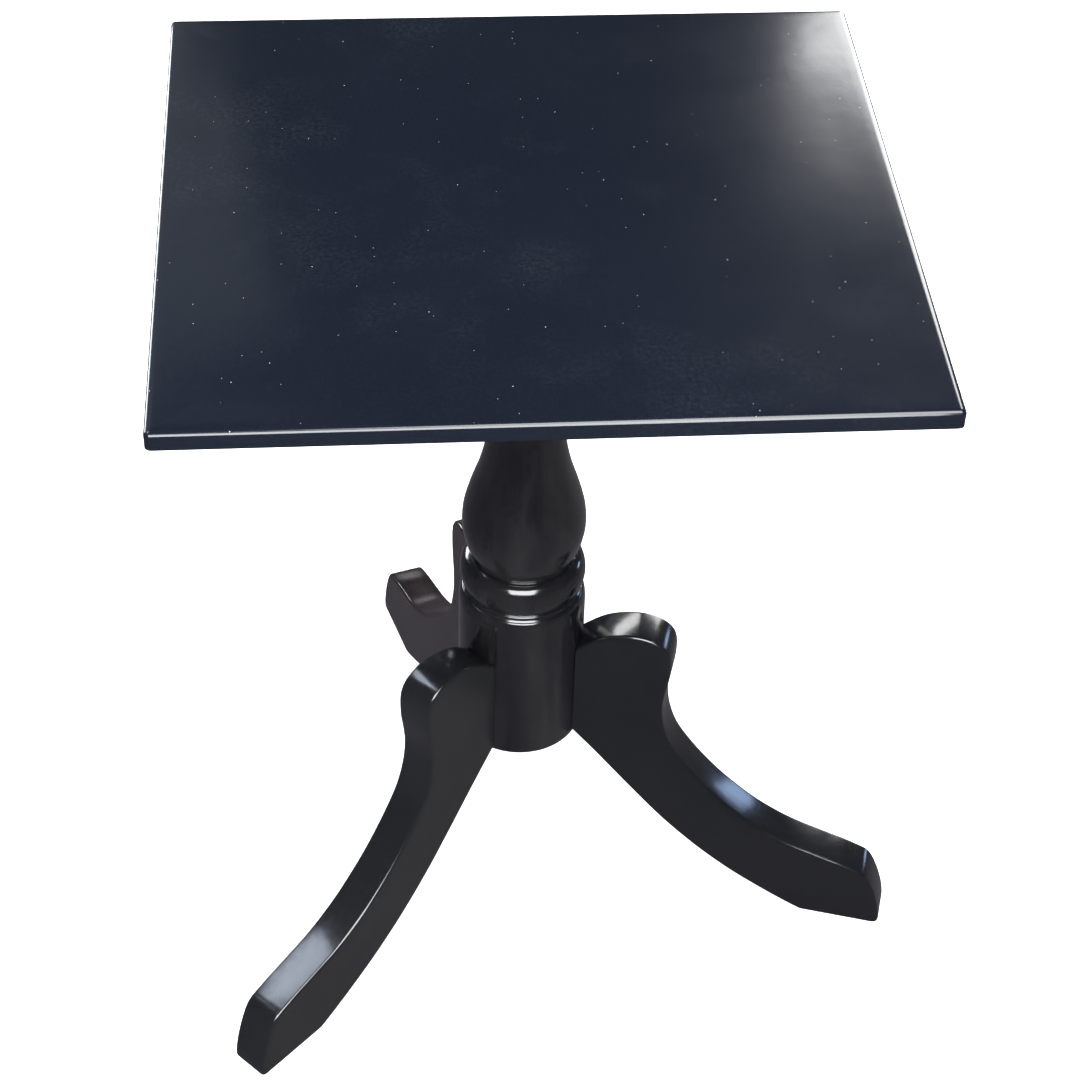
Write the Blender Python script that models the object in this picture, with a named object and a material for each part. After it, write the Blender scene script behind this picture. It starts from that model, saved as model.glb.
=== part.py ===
"""Tilt-top table: turned pillar, three sawn legs, a block and a hinged top.

Metres, +Z up. The origin is on the floor under the pillar's axis, +X is the
table's right and -Y its front. The top lies flat at rest and turns about the
pivot pins at the front of the pillar block, back edge upwards.
"""
import math

import bmesh
import bpy
from mathutils import Matrix, Vector

# ---------------------------------------------------------------- dimensions
GAP = 0.0003

TOP_WIDTH = 0.440
TOP_DEPTH = 0.415
TOP_THICK = 0.012
TOP_SURFACE_Z = 0.584
TOP_CORNER_R = 0.0035
TOP_ROUND_R = 0.0030
TOP_UNDER_Z = TOP_SURFACE_Z - TOP_THICK

BLOCK_WIDTH = 0.084
BLOCK_TOP_Z = TOP_UNDER_Z - 0.0004
BLOCK_BOTTOM_Z = BLOCK_TOP_Z - 0.026
BLOCK_BACK_Y = 0.0455
PIVOT_Y = -0.030
PIVOT_Z = BLOCK_TOP_Z - 0.0125
BLOCK_FRONT_Y = PIVOT_Y - 0.0125
BLOCK_ROUND_R = 0.0125
PIN_R = 0.0045
PIN_INNER_X = 0.019
PIN_FIT = 0.0001

BEARER_THICK = 0.020
BEARER_LENGTH = 0.300
BEARER_HEIGHT = 0.0257
BEARER_INNER_X = BLOCK_WIDTH / 2 + 0.0005
BEARER_TOP_Z = TOP_UNDER_Z - GAP
BEARER_SCREW_Y = (-0.120, 0.012, 0.120)

PILLAR_BOTTOM_Z = 0.1451
PILLAR_R = 0.0431
TENON_R = 0.0125
TENON_TOP_Z = BLOCK_TOP_Z - 0.0008
KERF_WIDTH = 0.0024

LEG_THICK = 0.0272
LEG_EDGE_R = 0.0024
LEG_ANGLES = {"right": -16.5, "left": -135.5, "back": 106.5}
COPE_R = PILLAR_R + GAP
TONGUE_INNER = 0.0279
TONGUE_ROOT_HALF = 0.0054
TONGUE_TIP_HALF = 0.0080
TONGUE_TOP_Z = 0.2258
TONGUE_BOTTOM_Z = 0.1490

BRACE_TOP_Z = PILLAR_BOTTOM_Z - GAP
BRACE_THICK = 0.0020
BRACE_HUB_R = 0.026
BRACE_ARM_HALF = 0.0070
BRACE_FOLD_R = 0.0426
BRACE_ARM_END = 0.074
BRACE_SLOPE = math.radians(47.6)

CATCH_FRONT_Y = 0.0560
CATCH_BACK_Y = 0.0925
CATCH_KNOB_Y = 0.0655
BOLT_TIP_Y = 0.0390
BOLT_TRAVEL = 0.0070
BOLT_TONGUE_Z = (TOP_UNDER_Z - 0.0068, TOP_UNDER_Z - 0.0043)
BOLT_BODY_Z = (TOP_UNDER_Z - 0.0071, TOP_UNDER_Z - 0.0028)
STRIKE_Z = (TOP_UNDER_Z - 0.0040, TOP_UNDER_Z - 0.0030)

# pillar radius at height, from the foot of the cylinder up to the collar
PILLAR_BODY = (
    (0.0405, PILLAR_BOTTOM_Z),
    (PILLAR_R, PILLAR_BOTTOM_Z + 0.0012),
    (PILLAR_R, 0.2578),
)
PILLAR_VASE = (
    (0.0333, 0.2996),
    (0.0359, 0.3041),
    (0.0390, 0.3134),
    (0.0409, 0.3237),
    (0.0411, 0.3320),
    (0.0401, 0.3413),
    (0.0378, 0.3511),
    (0.0347, 0.3619),
    (0.0314, 0.3722),
    (0.0290, 0.3815),
    (0.0271, 0.3907),
    (0.0243, 0.4083),
    (0.0218, 0.4330),
    (0.0203, 0.4620),
    (0.0198, 0.4870),
)

# leg outline, distance from the pillar's axis and height, along the top
LEG_TOP = (
    (0.0398, 0.2263),
    (0.0434, 0.2305),
    (0.0558, 0.2406),
    (0.0682, 0.2462),
    (0.0826, 0.2487),
    (0.0950, 0.2464),
    (0.1033, 0.2404),
    (0.1070, 0.2309),
    (0.1070, 0.2144),
    (0.1047, 0.1980),
    (0.1036, 0.1835),
    (0.1059, 0.1660),
    (0.1121, 0.1485),
    (0.1229, 0.1322),
    (0.1379, 0.1144),
    (0.1549, 0.0982),
    (0.1756, 0.0825),
    (0.1994, 0.0701),
    (0.2252, 0.0618),
    (0.2400, 0.0574),
    (0.2520, 0.0531),
)
LEG_TOE = (
    (0.2520, 0.0531),
    (0.2577, 0.0503),
    (0.2620, 0.0454),
    (0.2667, 0.0355),
    (0.2710, 0.0230),
    (0.2737, 0.0105),
    (0.2740, 0.0040),
    (0.2727, 0.0011),
    (0.2698, 0.0000),
)
LEG_UNDER = (
    (0.2169, 0.0000),
    (0.2066, 0.0047),
    (0.1852, 0.0158),
    (0.1600, 0.0308),
    (0.1339, 0.0502),
    (0.1086, 0.0732),
    (0.0847, 0.0992),
    (0.0589, 0.1285),
    (0.0434, 0.1453),
    (0.0398, 0.1493),
)

COLLECTION = bpy.context.scene.collection


# ------------------------------------------------------------------- helpers
def clear_scene():
    """Remove every object of the starting scene."""
    for item in list(bpy.data.objects):
        bpy.data.objects.remove(item, do_unlink=True)


def paint(name, colour, roughness, metallic=0.0):
    """Return a plain Principled material."""
    material = bpy.data.materials.new(name)
    material.use_nodes = True
    shader = material.node_tree.nodes["Principled BSDF"]
    shader.inputs["Base Color"].default_value = (*colour, 1.0)
    shader.inputs["Roughness"].default_value = roughness
    shader.inputs["Metallic"].default_value = metallic
    material.diffuse_color = (*colour, 1.0)
    return material


def add_object(name, shape, material=None, smooth=None):
    """Turn a bmesh into a named object at the origin."""
    bmesh.ops.recalc_face_normals(shape, faces=shape.faces[:])
    mesh = bpy.data.meshes.new(name)
    shape.to_mesh(mesh)
    shape.free()
    if smooth is not None:
        mesh.shade_smooth()
        mesh.set_sharp_from_angle(angle=math.radians(smooth))
    item = bpy.data.objects.new(name, mesh)
    COLLECTION.objects.link(item)
    if material is not None:
        mesh.materials.append(material)
    return item


def add_axis(name, location):
    """Add an empty that marks a joint's axis."""
    empty = bpy.data.objects.new(name, None)
    empty.empty_display_size = 0.03
    empty.location = location
    COLLECTION.objects.link(empty)
    return empty


def hang(item, parent):
    """Parent an object and keep it where it stands."""
    item.parent = parent
    item.location = item.location - parent.location


def box_shape(low, high):
    """Box between two corners."""
    shape = bmesh.new()
    low = Vector(low)
    high = Vector(high)
    size = high - low
    move = Matrix.Translation((low + high) / 2) @ Matrix.Diagonal((*size, 1.0))
    bmesh.ops.create_cube(shape, size=1.0, matrix=move)
    return shape


def turned_shape(profile, segments):
    """Solid of revolution about Z from (radius, height) points, bottom first."""
    shape = bmesh.new()
    rings = []
    for radius, height in profile:
        ring = []
        for step in range(segments):
            angle = 2.0 * math.pi * step / segments
            point = (radius * math.cos(angle), radius * math.sin(angle), height)
            ring.append(shape.verts.new(point))
        rings.append(ring)
    for lower, upper in zip(rings, rings[1:]):
        for step in range(segments):
            after = (step + 1) % segments
            shape.faces.new((lower[step], lower[after], upper[after], upper[step]))
    shape.faces.new(list(reversed(rings[0])))
    shape.faces.new(rings[-1])
    return shape


def prism_shape(outline, axis, low, high):
    """Extrude a closed outline along X, Y or Z between two values."""
    order = {
        "x": lambda a, b, c: (c, a, b),
        "y": lambda a, b, c: (a, c, b),
        "z": lambda a, b, c: (a, b, c),
    }[axis]
    shape = bmesh.new()
    near = [shape.verts.new(order(a, b, low)) for a, b in outline]
    far = [shape.verts.new(order(a, b, high)) for a, b in outline]
    count = len(outline)
    for step in range(count):
        after = (step + 1) % count
        shape.faces.new((near[step], near[after], far[after], far[step]))
    shape.faces.new(list(reversed(near)))
    shape.faces.new(far)
    return shape


def arc_points(centre, radius, start, end, steps):
    """Points of an arc, angles in degrees, both ends included."""
    points = []
    for step in range(steps + 1):
        angle = math.radians(start + (end - start) * step / steps)
        points.append(
            (centre[0] + radius * math.cos(angle), centre[1] + radius * math.sin(angle))
        )
    return points


def flowing_points(knots, steps):
    """Catmull-Rom curve through the knots, each span cut into steps."""
    first = tuple(2 * a - b for a, b in zip(knots[0], knots[1]))
    last = tuple(2 * a - b for a, b in zip(knots[-1], knots[-2]))
    chain = [first, *knots, last]
    points = [knots[0]]
    for k in range(1, len(chain) - 2):
        before, start, end, after = chain[k - 1 : k + 3]
        for step in range(1, steps + 1):
            t = step / steps
            point = []
            for axis in range(2):
                a = 2 * start[axis]
                b = end[axis] - before[axis]
                c = 2 * before[axis] - 5 * start[axis] + 4 * end[axis] - after[axis]
                d = 3 * start[axis] - before[axis] - 3 * end[axis] + after[axis]
                point.append((a + b * t + c * t * t + d * t * t * t) / 2)
            points.append(tuple(point))
    return points


def cut(item, cutter):
    """Subtract one closed object from another."""
    cutter.hide_render = True
    cutter.display_type = "WIRE"
    modifier = item.modifiers.new("cut " + cutter.name, "BOOLEAN")
    modifier.operation = "DIFFERENCE"
    modifier.solver = "EXACT"
    modifier.object = cutter


def join(item, other):
    """Unite one closed object with another, which stays hidden."""
    other.hide_render = True
    other.display_type = "WIRE"
    modifier = item.modifiers.new("join " + other.name, "BOOLEAN")
    modifier.operation = "UNION"
    modifier.solver = "EXACT"
    modifier.object = other


def round_edges(item, width, segments, angle):
    """Round the edges sharper than the angle."""
    modifier = item.modifiers.new("rounding", "BEVEL")
    modifier.width = width
    modifier.segments = segments
    modifier.limit_method = "ANGLE"
    modifier.angle_limit = math.radians(angle)


def hole(name, item, centre, direction, radius, depth, segments=16):
    """Drill a hole from the centre point along the direction."""
    profile = ((radius, -0.002), (radius, depth))
    drill = add_object("cutter_" + name, turned_shape(profile, segments))
    drill.location = centre
    drill.rotation_euler = Vector((0, 0, 1)).rotation_difference(Vector(direction)).to_euler()
    cut(item, drill)


def screw(name, seat, direction, head_r, head_h, shank_r, length, material):
    """Slotted round-head screw whose head bears on the seat point."""
    profile = [(shank_r * 0.35, length), (shank_r, length - 0.0025), (shank_r, GAP)]
    profile.append((shank_r, -GAP))
    profile.append((head_r, -GAP))
    profile.append((head_r * 0.94, -GAP - head_h * 0.55))
    profile.append((head_r * 0.60, -GAP - head_h * 0.95))
    profile.append((head_r * 0.20, -GAP - head_h))
    profile.reverse()
    item = add_object(name, turned_shape(profile, 16), material, 40)
    slot_low = (-head_r * 1.2, -0.0004, -GAP - head_h * 1.2)
    slot_high = (head_r * 1.2, 0.0004, -GAP - head_h * 0.45)
    slot = add_object("cutter_slot_" + name, box_shape(slot_low, slot_high))
    turn = Vector((0, 0, 1)).rotation_difference(Vector(direction)).to_euler()
    for part in (item, slot):
        part.location = seat
        part.rotation_euler = turn
    cut(item, slot)
    return item


# ------------------------------------------------------------------ materials
def make_materials():
    """Return the object's materials by use."""
    return {
        "top": paint("black_paint_top", (0.018, 0.022, 0.030), 0.34),
        "pillar": paint("black_paint_pillar", (0.022, 0.021, 0.022), 0.20),
        "right": paint("black_paint_leg_right", (0.024, 0.024, 0.027), 0.32),
        "left": paint("black_paint_leg_left", (0.024, 0.024, 0.027), 0.32),
        "back": paint("black_paint_leg_back", (0.030, 0.027, 0.027), 0.32),
        "block": paint("black_paint_block", (0.026, 0.025, 0.025), 0.40),
        "bearer": paint("black_paint_bearer", (0.026, 0.025, 0.025), 0.42),
        "wedge": paint("beech_wedge", (0.52, 0.36, 0.20), 0.60),
        "pin": paint("steel_pin", (0.42, 0.42, 0.43), 0.30, 1.0),
        "screw": paint("steel_screw", (0.50, 0.49, 0.47), 0.32, 1.0),
        "brace": paint("black_steel_brace", (0.030, 0.030, 0.031), 0.45),
        "brass": paint("brass_catch", (0.62, 0.44, 0.18), 0.30, 1.0),
        "strike": paint("brass_strike", (0.60, 0.43, 0.18), 0.34, 1.0),
        "bolt": paint("brass_bolt", (0.66, 0.48, 0.21), 0.24, 1.0),
        "spring": paint("spring_wire", (0.46, 0.46, 0.47), 0.26, 1.0),
    }


# ----------------------------------------------------------------- the pillar
def pillar_profile():
    """Outline of the turned pillar with its tenon, bottom first."""
    points = list(PILLAR_BODY)
    for radius, height in arc_points((0.0, 0.0), 1.0, 15, 90, 5):
        points.append((0.0398 + 0.0033 * radius, 0.2578 + 0.0122 * height))
    points.append((0.0386, 0.2714))
    points.append((0.0388, 0.2728))
    for radius, height in arc_points((0.0, 0.0), 1.0, -66, 66, 8):
        points.append((0.0340 + 0.0083 * radius, 0.2858 + 0.0132 * height))
    points.append((0.0351, 0.2993))
    points.extend(flowing_points(PILLAR_VASE, 2))
    points.append((0.0234, 0.4915))
    for radius, height in arc_points((0.0, 0.0), 1.0, -60, 60, 4):
        points.append((0.0215 + 0.0050 * radius, 0.4985 + 0.0062 * height))
    points.append((0.0222, 0.5060))
    points.append((0.0226, 0.5160))
    points.append((0.0252, 0.5270))
    points.append((0.0300, 0.5350))
    points.append((0.0322, 0.5380))
    points.append((0.0322, BLOCK_BOTTOM_Z - GAP))
    points.append((TENON_R, BLOCK_BOTTOM_Z - GAP))
    points.append((TENON_R, TENON_TOP_Z - 0.0010))
    points.append((TENON_R - 0.0010, TENON_TOP_Z))
    return points


def make_pillar(materials):
    """Turned pillar with three dovetail housings and a kerfed tenon."""
    pillar = add_object("pillar", turned_shape(pillar_profile(), 56), materials["pillar"], 32)
    for side, degrees in LEG_ANGLES.items():
        outline = (
            (TONGUE_INNER - GAP, -TONGUE_TIP_HALF - GAP),
            (PILLAR_R + 0.003, -TONGUE_ROOT_HALF - GAP),
            (PILLAR_R + 0.003, TONGUE_ROOT_HALF + GAP),
            (TONGUE_INNER - GAP, TONGUE_TIP_HALF + GAP),
        )
        shape = prism_shape(outline, "z", PILLAR_BOTTOM_Z - 0.005, TONGUE_TOP_Z + GAP)
        housing = add_object("cutter_housing_" + side, shape)
        housing.rotation_euler = (0.0, 0.0, math.radians(degrees))
        cut(pillar, housing)
    kerf_low = (-0.020, -KERF_WIDTH / 2, TENON_TOP_Z - 0.020)
    kerf_high = (0.020, KERF_WIDTH / 2, TENON_TOP_Z + 0.004)
    cut(pillar, add_object("cutter_kerf", box_shape(kerf_low, kerf_high)))
    for number, degrees in enumerate(brace_screw_angles(), 1):
        where = Matrix.Rotation(math.radians(degrees), 3, "Z") @ Vector((0.0180, 0.0, 0.0))
        where.z = PILLAR_BOTTOM_Z
        hole("pillar_%d" % number, pillar, where, (0, 0, 1), 0.0019, 0.0185)
    return pillar


def make_wedge(materials):
    """Tapered wedge driven into the tenon's kerf."""
    top_z = TENON_TOP_Z - 0.0002
    outline = (
        (-0.0003, top_z - 0.0185),
        (0.0003, top_z - 0.0185),
        (0.0009, top_z),
        (-0.0009, top_z),
    )
    return add_object("tenon_wedge", prism_shape(outline, "x", -0.0110, 0.0110), materials["wedge"])


# ------------------------------------------------------------------- the legs
def make_leg(side, materials):
    """Sawn leg with eased edges, a coped shoulder and a dovetail tongue."""
    outline = flowing_points(LEG_TOP, 2)
    outline.extend(flowing_points(LEG_TOE, 2)[1:])
    outline.extend(flowing_points(LEG_UNDER, 2))
    half = LEG_THICK / 2
    shape = prism_shape(outline, "y", -half, half)
    leg = add_object("leg_" + side, shape, materials[side], 32)
    round_edges(leg, LEG_EDGE_R, 3, 42)
    turn = (0.0, 0.0, math.radians(LEG_ANGLES[side]))
    leg.rotation_euler = turn
    cope = add_object("cutter_cope_" + side, turned_shape(((COPE_R, 0.10), (COPE_R, 0.30)), 56))
    cope.rotation_euler = (0.0, 0.0, 0.0)
    cut(leg, cope)
    plan = (
        (TONGUE_INNER, -TONGUE_TIP_HALF),
        (COPE_R + 0.0015, -TONGUE_ROOT_HALF),
        (COPE_R + 0.0015, TONGUE_ROOT_HALF),
        (TONGUE_INNER, TONGUE_TIP_HALF),
    )
    shape = prism_shape(plan, "z", TONGUE_BOTTOM_Z, TONGUE_TOP_Z)
    tongue = add_object("cutter_tongue_" + side, shape)
    tongue.rotation_euler = turn
    join(leg, tongue)
    seat, inward = brace_seat(side)
    hole("leg_" + side, leg, seat, inward, 0.0019, 0.0180)
    return leg


# ------------------------------------------------------------------ the brace
def brace_screw_angles():
    """Azimuths of the brace's pillar screws, midway between the legs."""
    angles = sorted(LEG_ANGLES.values())
    middles = [(a + b) / 2 for a, b in zip(angles, angles[1:])]
    middles.append((angles[-1] + angles[0] + 360.0) / 2)
    return middles


def brace_seat(side):
    """Where a leg screw passes the brace's upper face, and its direction."""
    turn = Matrix.Rotation(math.radians(LEG_ANGLES[side]), 3, "Z")
    along = 0.0175
    radius = BRACE_FOLD_R + along * math.cos(BRACE_SLOPE)
    height = BRACE_TOP_Z - along * math.sin(BRACE_SLOPE)
    inward = Vector((math.sin(BRACE_SLOPE), 0.0, math.cos(BRACE_SLOPE)))
    return turn @ Vector((radius, 0.0, height)), turn @ inward


def make_brace(materials):
    """Three-armed steel plate under the pillar, arms bent along the legs."""
    shape = bmesh.new()
    rim = []
    arms = []
    half_angle = math.degrees(math.asin(BRACE_ARM_HALF / BRACE_HUB_R))
    ordered = sorted(LEG_ANGLES.values())
    for number, degrees in enumerate(ordered):
        turn = Matrix.Rotation(math.radians(degrees), 3, "Z")
        fold = (BRACE_FOLD_R, BRACE_TOP_Z)
        length = BRACE_ARM_END - BRACE_FOLD_R
        rows = []
        for out, width in ((-1, 1.0), (0, 1.0), (length - 0.005, 1.0), (length, 0.55)):
            if out < 0:
                place = (BRACE_HUB_R * math.cos(math.radians(half_angle)), fold[1])
            else:
                drop = out / math.cos(BRACE_SLOPE) * math.sin(BRACE_SLOPE)
                place = (fold[0] + out, fold[1] - drop)
            pair = []
            for side in (-1, 1):
                point = turn @ Vector((place[0], side * width * BRACE_ARM_HALF, place[1]))
                pair.append(shape.verts.new(point))
            rows.append(pair)
        arms.append(rows)
        rim.append(rows[0][0])
        rim.append(rows[0][1])
        after = ordered[(number + 1) % 3] + (360.0 if number == 2 else 0.0)
        first = degrees + half_angle
        last = after - half_angle
        for step in range(1, 8):
            angle = math.radians(first + (last - first) * step / 8)
            point = (BRACE_HUB_R * math.cos(angle), BRACE_HUB_R * math.sin(angle), BRACE_TOP_Z)
            rim.append(shape.verts.new(point))
    shape.faces.new(rim)
    for rows in arms:
        for near, far in zip(rows, rows[1:]):
            shape.faces.new((near[0], far[0], far[1], near[1]))
    for face in shape.faces:
        face.normal_update()
        if face.normal.z < 0:
            face.normal_flip()
    mesh = bpy.data.meshes.new("leg_brace")
    shape.to_mesh(mesh)
    shape.free()
    brace = bpy.data.objects.new("leg_brace", mesh)
    COLLECTION.objects.link(brace)
    mesh.materials.append(materials["brace"])
    sheet = brace.modifiers.new("sheet", "SOLIDIFY")
    sheet.thickness = BRACE_THICK
    sheet.offset = -1.0
    sheet.use_even_offset = True
    for number, degrees in enumerate(brace_screw_angles(), 1):
        where = Matrix.Rotation(math.radians(degrees), 3, "Z") @ Vector((0.0180, 0.0, 0.0))
        where.z = BRACE_TOP_Z - BRACE_THICK - 0.001
        hole("brace_hub_%d" % number, brace, where, (0, 0, 1), 0.0019, 0.006)
    for side in LEG_ANGLES:
        seat, inward = brace_seat(side)
        start = seat - inward * (BRACE_THICK + 0.001)
        hole("brace_arm_" + side, brace, start, inward, 0.0019, 0.006)
    return brace


def make_brace_screws(materials):
    """Three screws into the pillar's end and one into each leg."""
    names = []
    for number, degrees in enumerate(brace_screw_angles(), 1):
        where = Matrix.Rotation(math.radians(degrees), 3, "Z") @ Vector((0.0180, 0.0, 0.0))
        where.z = BRACE_TOP_Z - BRACE_THICK
        name = "brace_hub_screw_%d" % number
        screw(name, where, (0, 0, 1), 0.0038, 0.0020, 0.0016, 0.018, materials["screw"])
        names.append(name)
    for side in LEG_ANGLES:
        seat, inward = brace_seat(side)
        where = seat - inward * BRACE_THICK
        name = "brace_leg_screw_" + side
        screw(name, where, inward, 0.0038, 0.0020, 0.0016, 0.018, materials["screw"])
        names.append(name)
    return names


# ------------------------------------------------------------------ the block
def make_block(materials):
    """Pillar block: bored for the tenon, rounded at the pivot, let in for the strike."""
    outline = [(BLOCK_BACK_Y, BLOCK_BOTTOM_Z), (BLOCK_BACK_Y, BLOCK_TOP_Z)]
    centre = (BLOCK_FRONT_Y + BLOCK_ROUND_R, BLOCK_TOP_Z - BLOCK_ROUND_R)
    outline.extend(arc_points(centre, BLOCK_ROUND_R, 90, 180, 10))
    outline.append((BLOCK_FRONT_Y, BLOCK_BOTTOM_Z))
    half = BLOCK_WIDTH / 2
    block = add_object("pillar_block", prism_shape(outline, "x", -half, half), materials["block"], 32)
    round_edges(block, 0.0008, 1, 50)
    profile = ((TENON_R + GAP, BLOCK_BOTTOM_Z - 0.01), (TENON_R + GAP, BLOCK_TOP_Z + 0.01))
    cut(block, add_object("cutter_mortise", turned_shape(profile, 56)))
    low = (-0.0205 - GAP, 0.0330 - GAP, STRIKE_Z[0] - GAP)
    high = (0.0205 + GAP, BLOCK_BACK_Y + 0.004, BLOCK_TOP_Z + 0.004)
    cut(block, add_object("cutter_strike_recess", box_shape(low, high)))
    low = (-0.0066, BOLT_TIP_Y - 0.0012, BOLT_TONGUE_Z[0] - GAP)
    high = (0.0066, BLOCK_BACK_Y + 0.004, STRIKE_Z[0] + 0.001)
    cut(block, add_object("cutter_bolt_notch", box_shape(low, high)))
    for side, sign in (("left", -1), ("right", 1)):
        start = (sign * (BLOCK_WIDTH / 2), PIVOT_Y, PIVOT_Z)
        depth = BLOCK_WIDTH / 2 - PIN_INNER_X + 0.0008
        hole("pin_bore_" + side, block, start, (-sign, 0, 0), PIN_R + PIN_FIT, depth, 32)
        seat = (sign * 0.0150, 0.0385, STRIKE_Z[0])
        hole("strike_pilot_" + side, block, seat, (0, 0, -1), 0.0015, 0.0118)
    return block


def make_pins(materials):
    """Steel pivot pins, fast in the block and free in the bearers."""
    for side, sign in (("left", -1), ("right", 1)):
        length = BEARER_INNER_X + BEARER_THICK - 0.0010 - PIN_INNER_X
        profile = (
            (PIN_R - 0.0006, 0.0),
            (PIN_R, 0.0006),
            (PIN_R, length - 0.0006),
            (PIN_R - 0.0006, length),
        )
        pin = add_object("pivot_pin_" + side, turned_shape(profile, 32), materials["pin"], 32)
        pin.location = (sign * PIN_INNER_X, PIVOT_Y, PIVOT_Z)
        pin.rotation_euler = (0.0, sign * math.pi / 2, 0.0)


def make_strike(materials):
    """Brass strike plate let into the block's back, with two screws."""
    low = (-0.0205, 0.0330, STRIKE_Z[0])
    high = (0.0205, BLOCK_BACK_Y - 0.0003, STRIKE_Z[1])
    strike = add_object("strike_plate", box_shape(low, high), materials["strike"])
    for side, sign in (("left", -1), ("right", 1)):
        start = (sign * 0.0150, 0.0385, STRIKE_Z[0] - 0.002)
        hole("strike_" + side, strike, start, (0, 0, 1), 0.0015, 0.006)
        seat = (sign * 0.0150, 0.0385, STRIKE_Z[1])
        name = "strike_screw_" + side
        screw(name, seat, (0, 0, -1), 0.0029, 0.0011, 0.0012, 0.0110, materials["screw"])


# -------------------------------------------------------------------- the top
def rounded_rectangle(width, depth, radius, steps):
    """Closed outline of a rectangle with rounded corners."""
    points = []
    for number, (sx, sy) in enumerate(((1, 1), (-1, 1), (-1, -1), (1, -1))):
        centre = (sx * (width / 2 - radius), sy * (depth / 2 - radius))
        points.extend(arc_points(centre, radius, 90 * number, 90 * number + 90, steps))
    return points


def make_top(axis, materials):
    """Board with a rounded upper edge and a square fascia."""
    rings = [(0.0008, 0.0), (0.0, 0.0008)]
    for inset, rise in arc_points((0.0, 0.0), 1.0, 0, 90, 5):
        inset_m = TOP_ROUND_R * (1.0 - inset)
        rings.append((inset_m, TOP_THICK - TOP_ROUND_R + TOP_ROUND_R * rise))
    shape = bmesh.new()
    loops = []
    for inset, rise in rings:
        outline = rounded_rectangle(
            TOP_WIDTH - 2 * inset, TOP_DEPTH - 2 * inset, TOP_CORNER_R - inset, 6
        )
        loops.append([shape.verts.new((x, y, TOP_UNDER_Z + rise)) for x, y in outline])
    count = len(loops[0])
    for lower, upper in zip(loops, loops[1:]):
        for step in range(count):
            after = (step + 1) % count
            shape.faces.new((lower[step], lower[after], upper[after], upper[step]))
    shape.faces.new(list(reversed(loops[0])))
    shape.faces.new(loops[-1])
    board = add_object("top_board", shape, materials["top"], 32)
    for sign in (-1, 1):
        for number, y in enumerate(BEARER_SCREW_Y):
            x = sign * (BEARER_INNER_X + BEARER_THICK / 2)
            name = "board_%s_%d" % ("right" if sign > 0 else "left", number)
            hole(name, board, (x, y, TOP_UNDER_Z), (0, 0, 1), 0.0021, 0.0082)
    for number, (x, y) in enumerate(catch_screw_places()):
        hole("board_catch_%d" % number, board, (x, y, TOP_UNDER_Z), (0, 0, 1), 0.0015, 0.0075)
    hang(board, axis)
    return board


def make_bearers(axis, materials):
    """Two bearers under the top, bored for the pins and screwed up into it."""
    for side, sign in (("left", -1), ("right", 1)):
        inner = sign * BEARER_INNER_X
        outer = sign * (BEARER_INNER_X + BEARER_THICK)
        low_z = BEARER_TOP_Z - BEARER_HEIGHT
        half = BEARER_LENGTH / 2
        outline = (
            (-half, BEARER_TOP_Z),
            (-half, BEARER_TOP_Z - 0.008),
            (-half + 0.020, low_z),
            (half - 0.020, low_z),
            (half, BEARER_TOP_Z - 0.008),
            (half, BEARER_TOP_Z),
        )
        shape = prism_shape(outline, "x", min(inner, outer), max(inner, outer))
        bearer = add_object("bearer_" + side, shape, materials["bearer"])
        round_edges(bearer, 0.0010, 1, 20)
        start = (inner, PIVOT_Y, PIVOT_Z)
        depth = BEARER_THICK + 0.003
        hole("bearer_bore_" + side, bearer, start, (sign, 0, 0), PIN_R + PIN_FIT, depth, 32)
        x = (inner + outer) / 2
        for number, y in enumerate(BEARER_SCREW_Y):
            tag = "%s_%d" % (side, number)
            hole("sink_" + tag, bearer, (x, y, low_z), (0, 0, 1), 0.0048, 0.0040, 24)
            hole("shank_" + tag, bearer, (x, y, low_z), (0, 0, 1), 0.0021, 0.030)
            name = "bearer_screw_%s_%d" % (side, number + 1)
            seat = (x, y, low_z + 0.0040)
            length = TOP_UNDER_Z + 0.0078 - seat[2]
            part = screw(name, seat, (0, 0, 1), 0.0042, 0.0026, 0.0018, length, materials["screw"])
            hang(part, axis)
        hang(bearer, axis)


# ------------------------------------------------------------------ the catch
def catch_screw_places():
    """Centres of the four catch screws."""
    return [(sx * 0.0175, y) for sx in (-1, 1) for y in (0.0575, 0.0910)]


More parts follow.
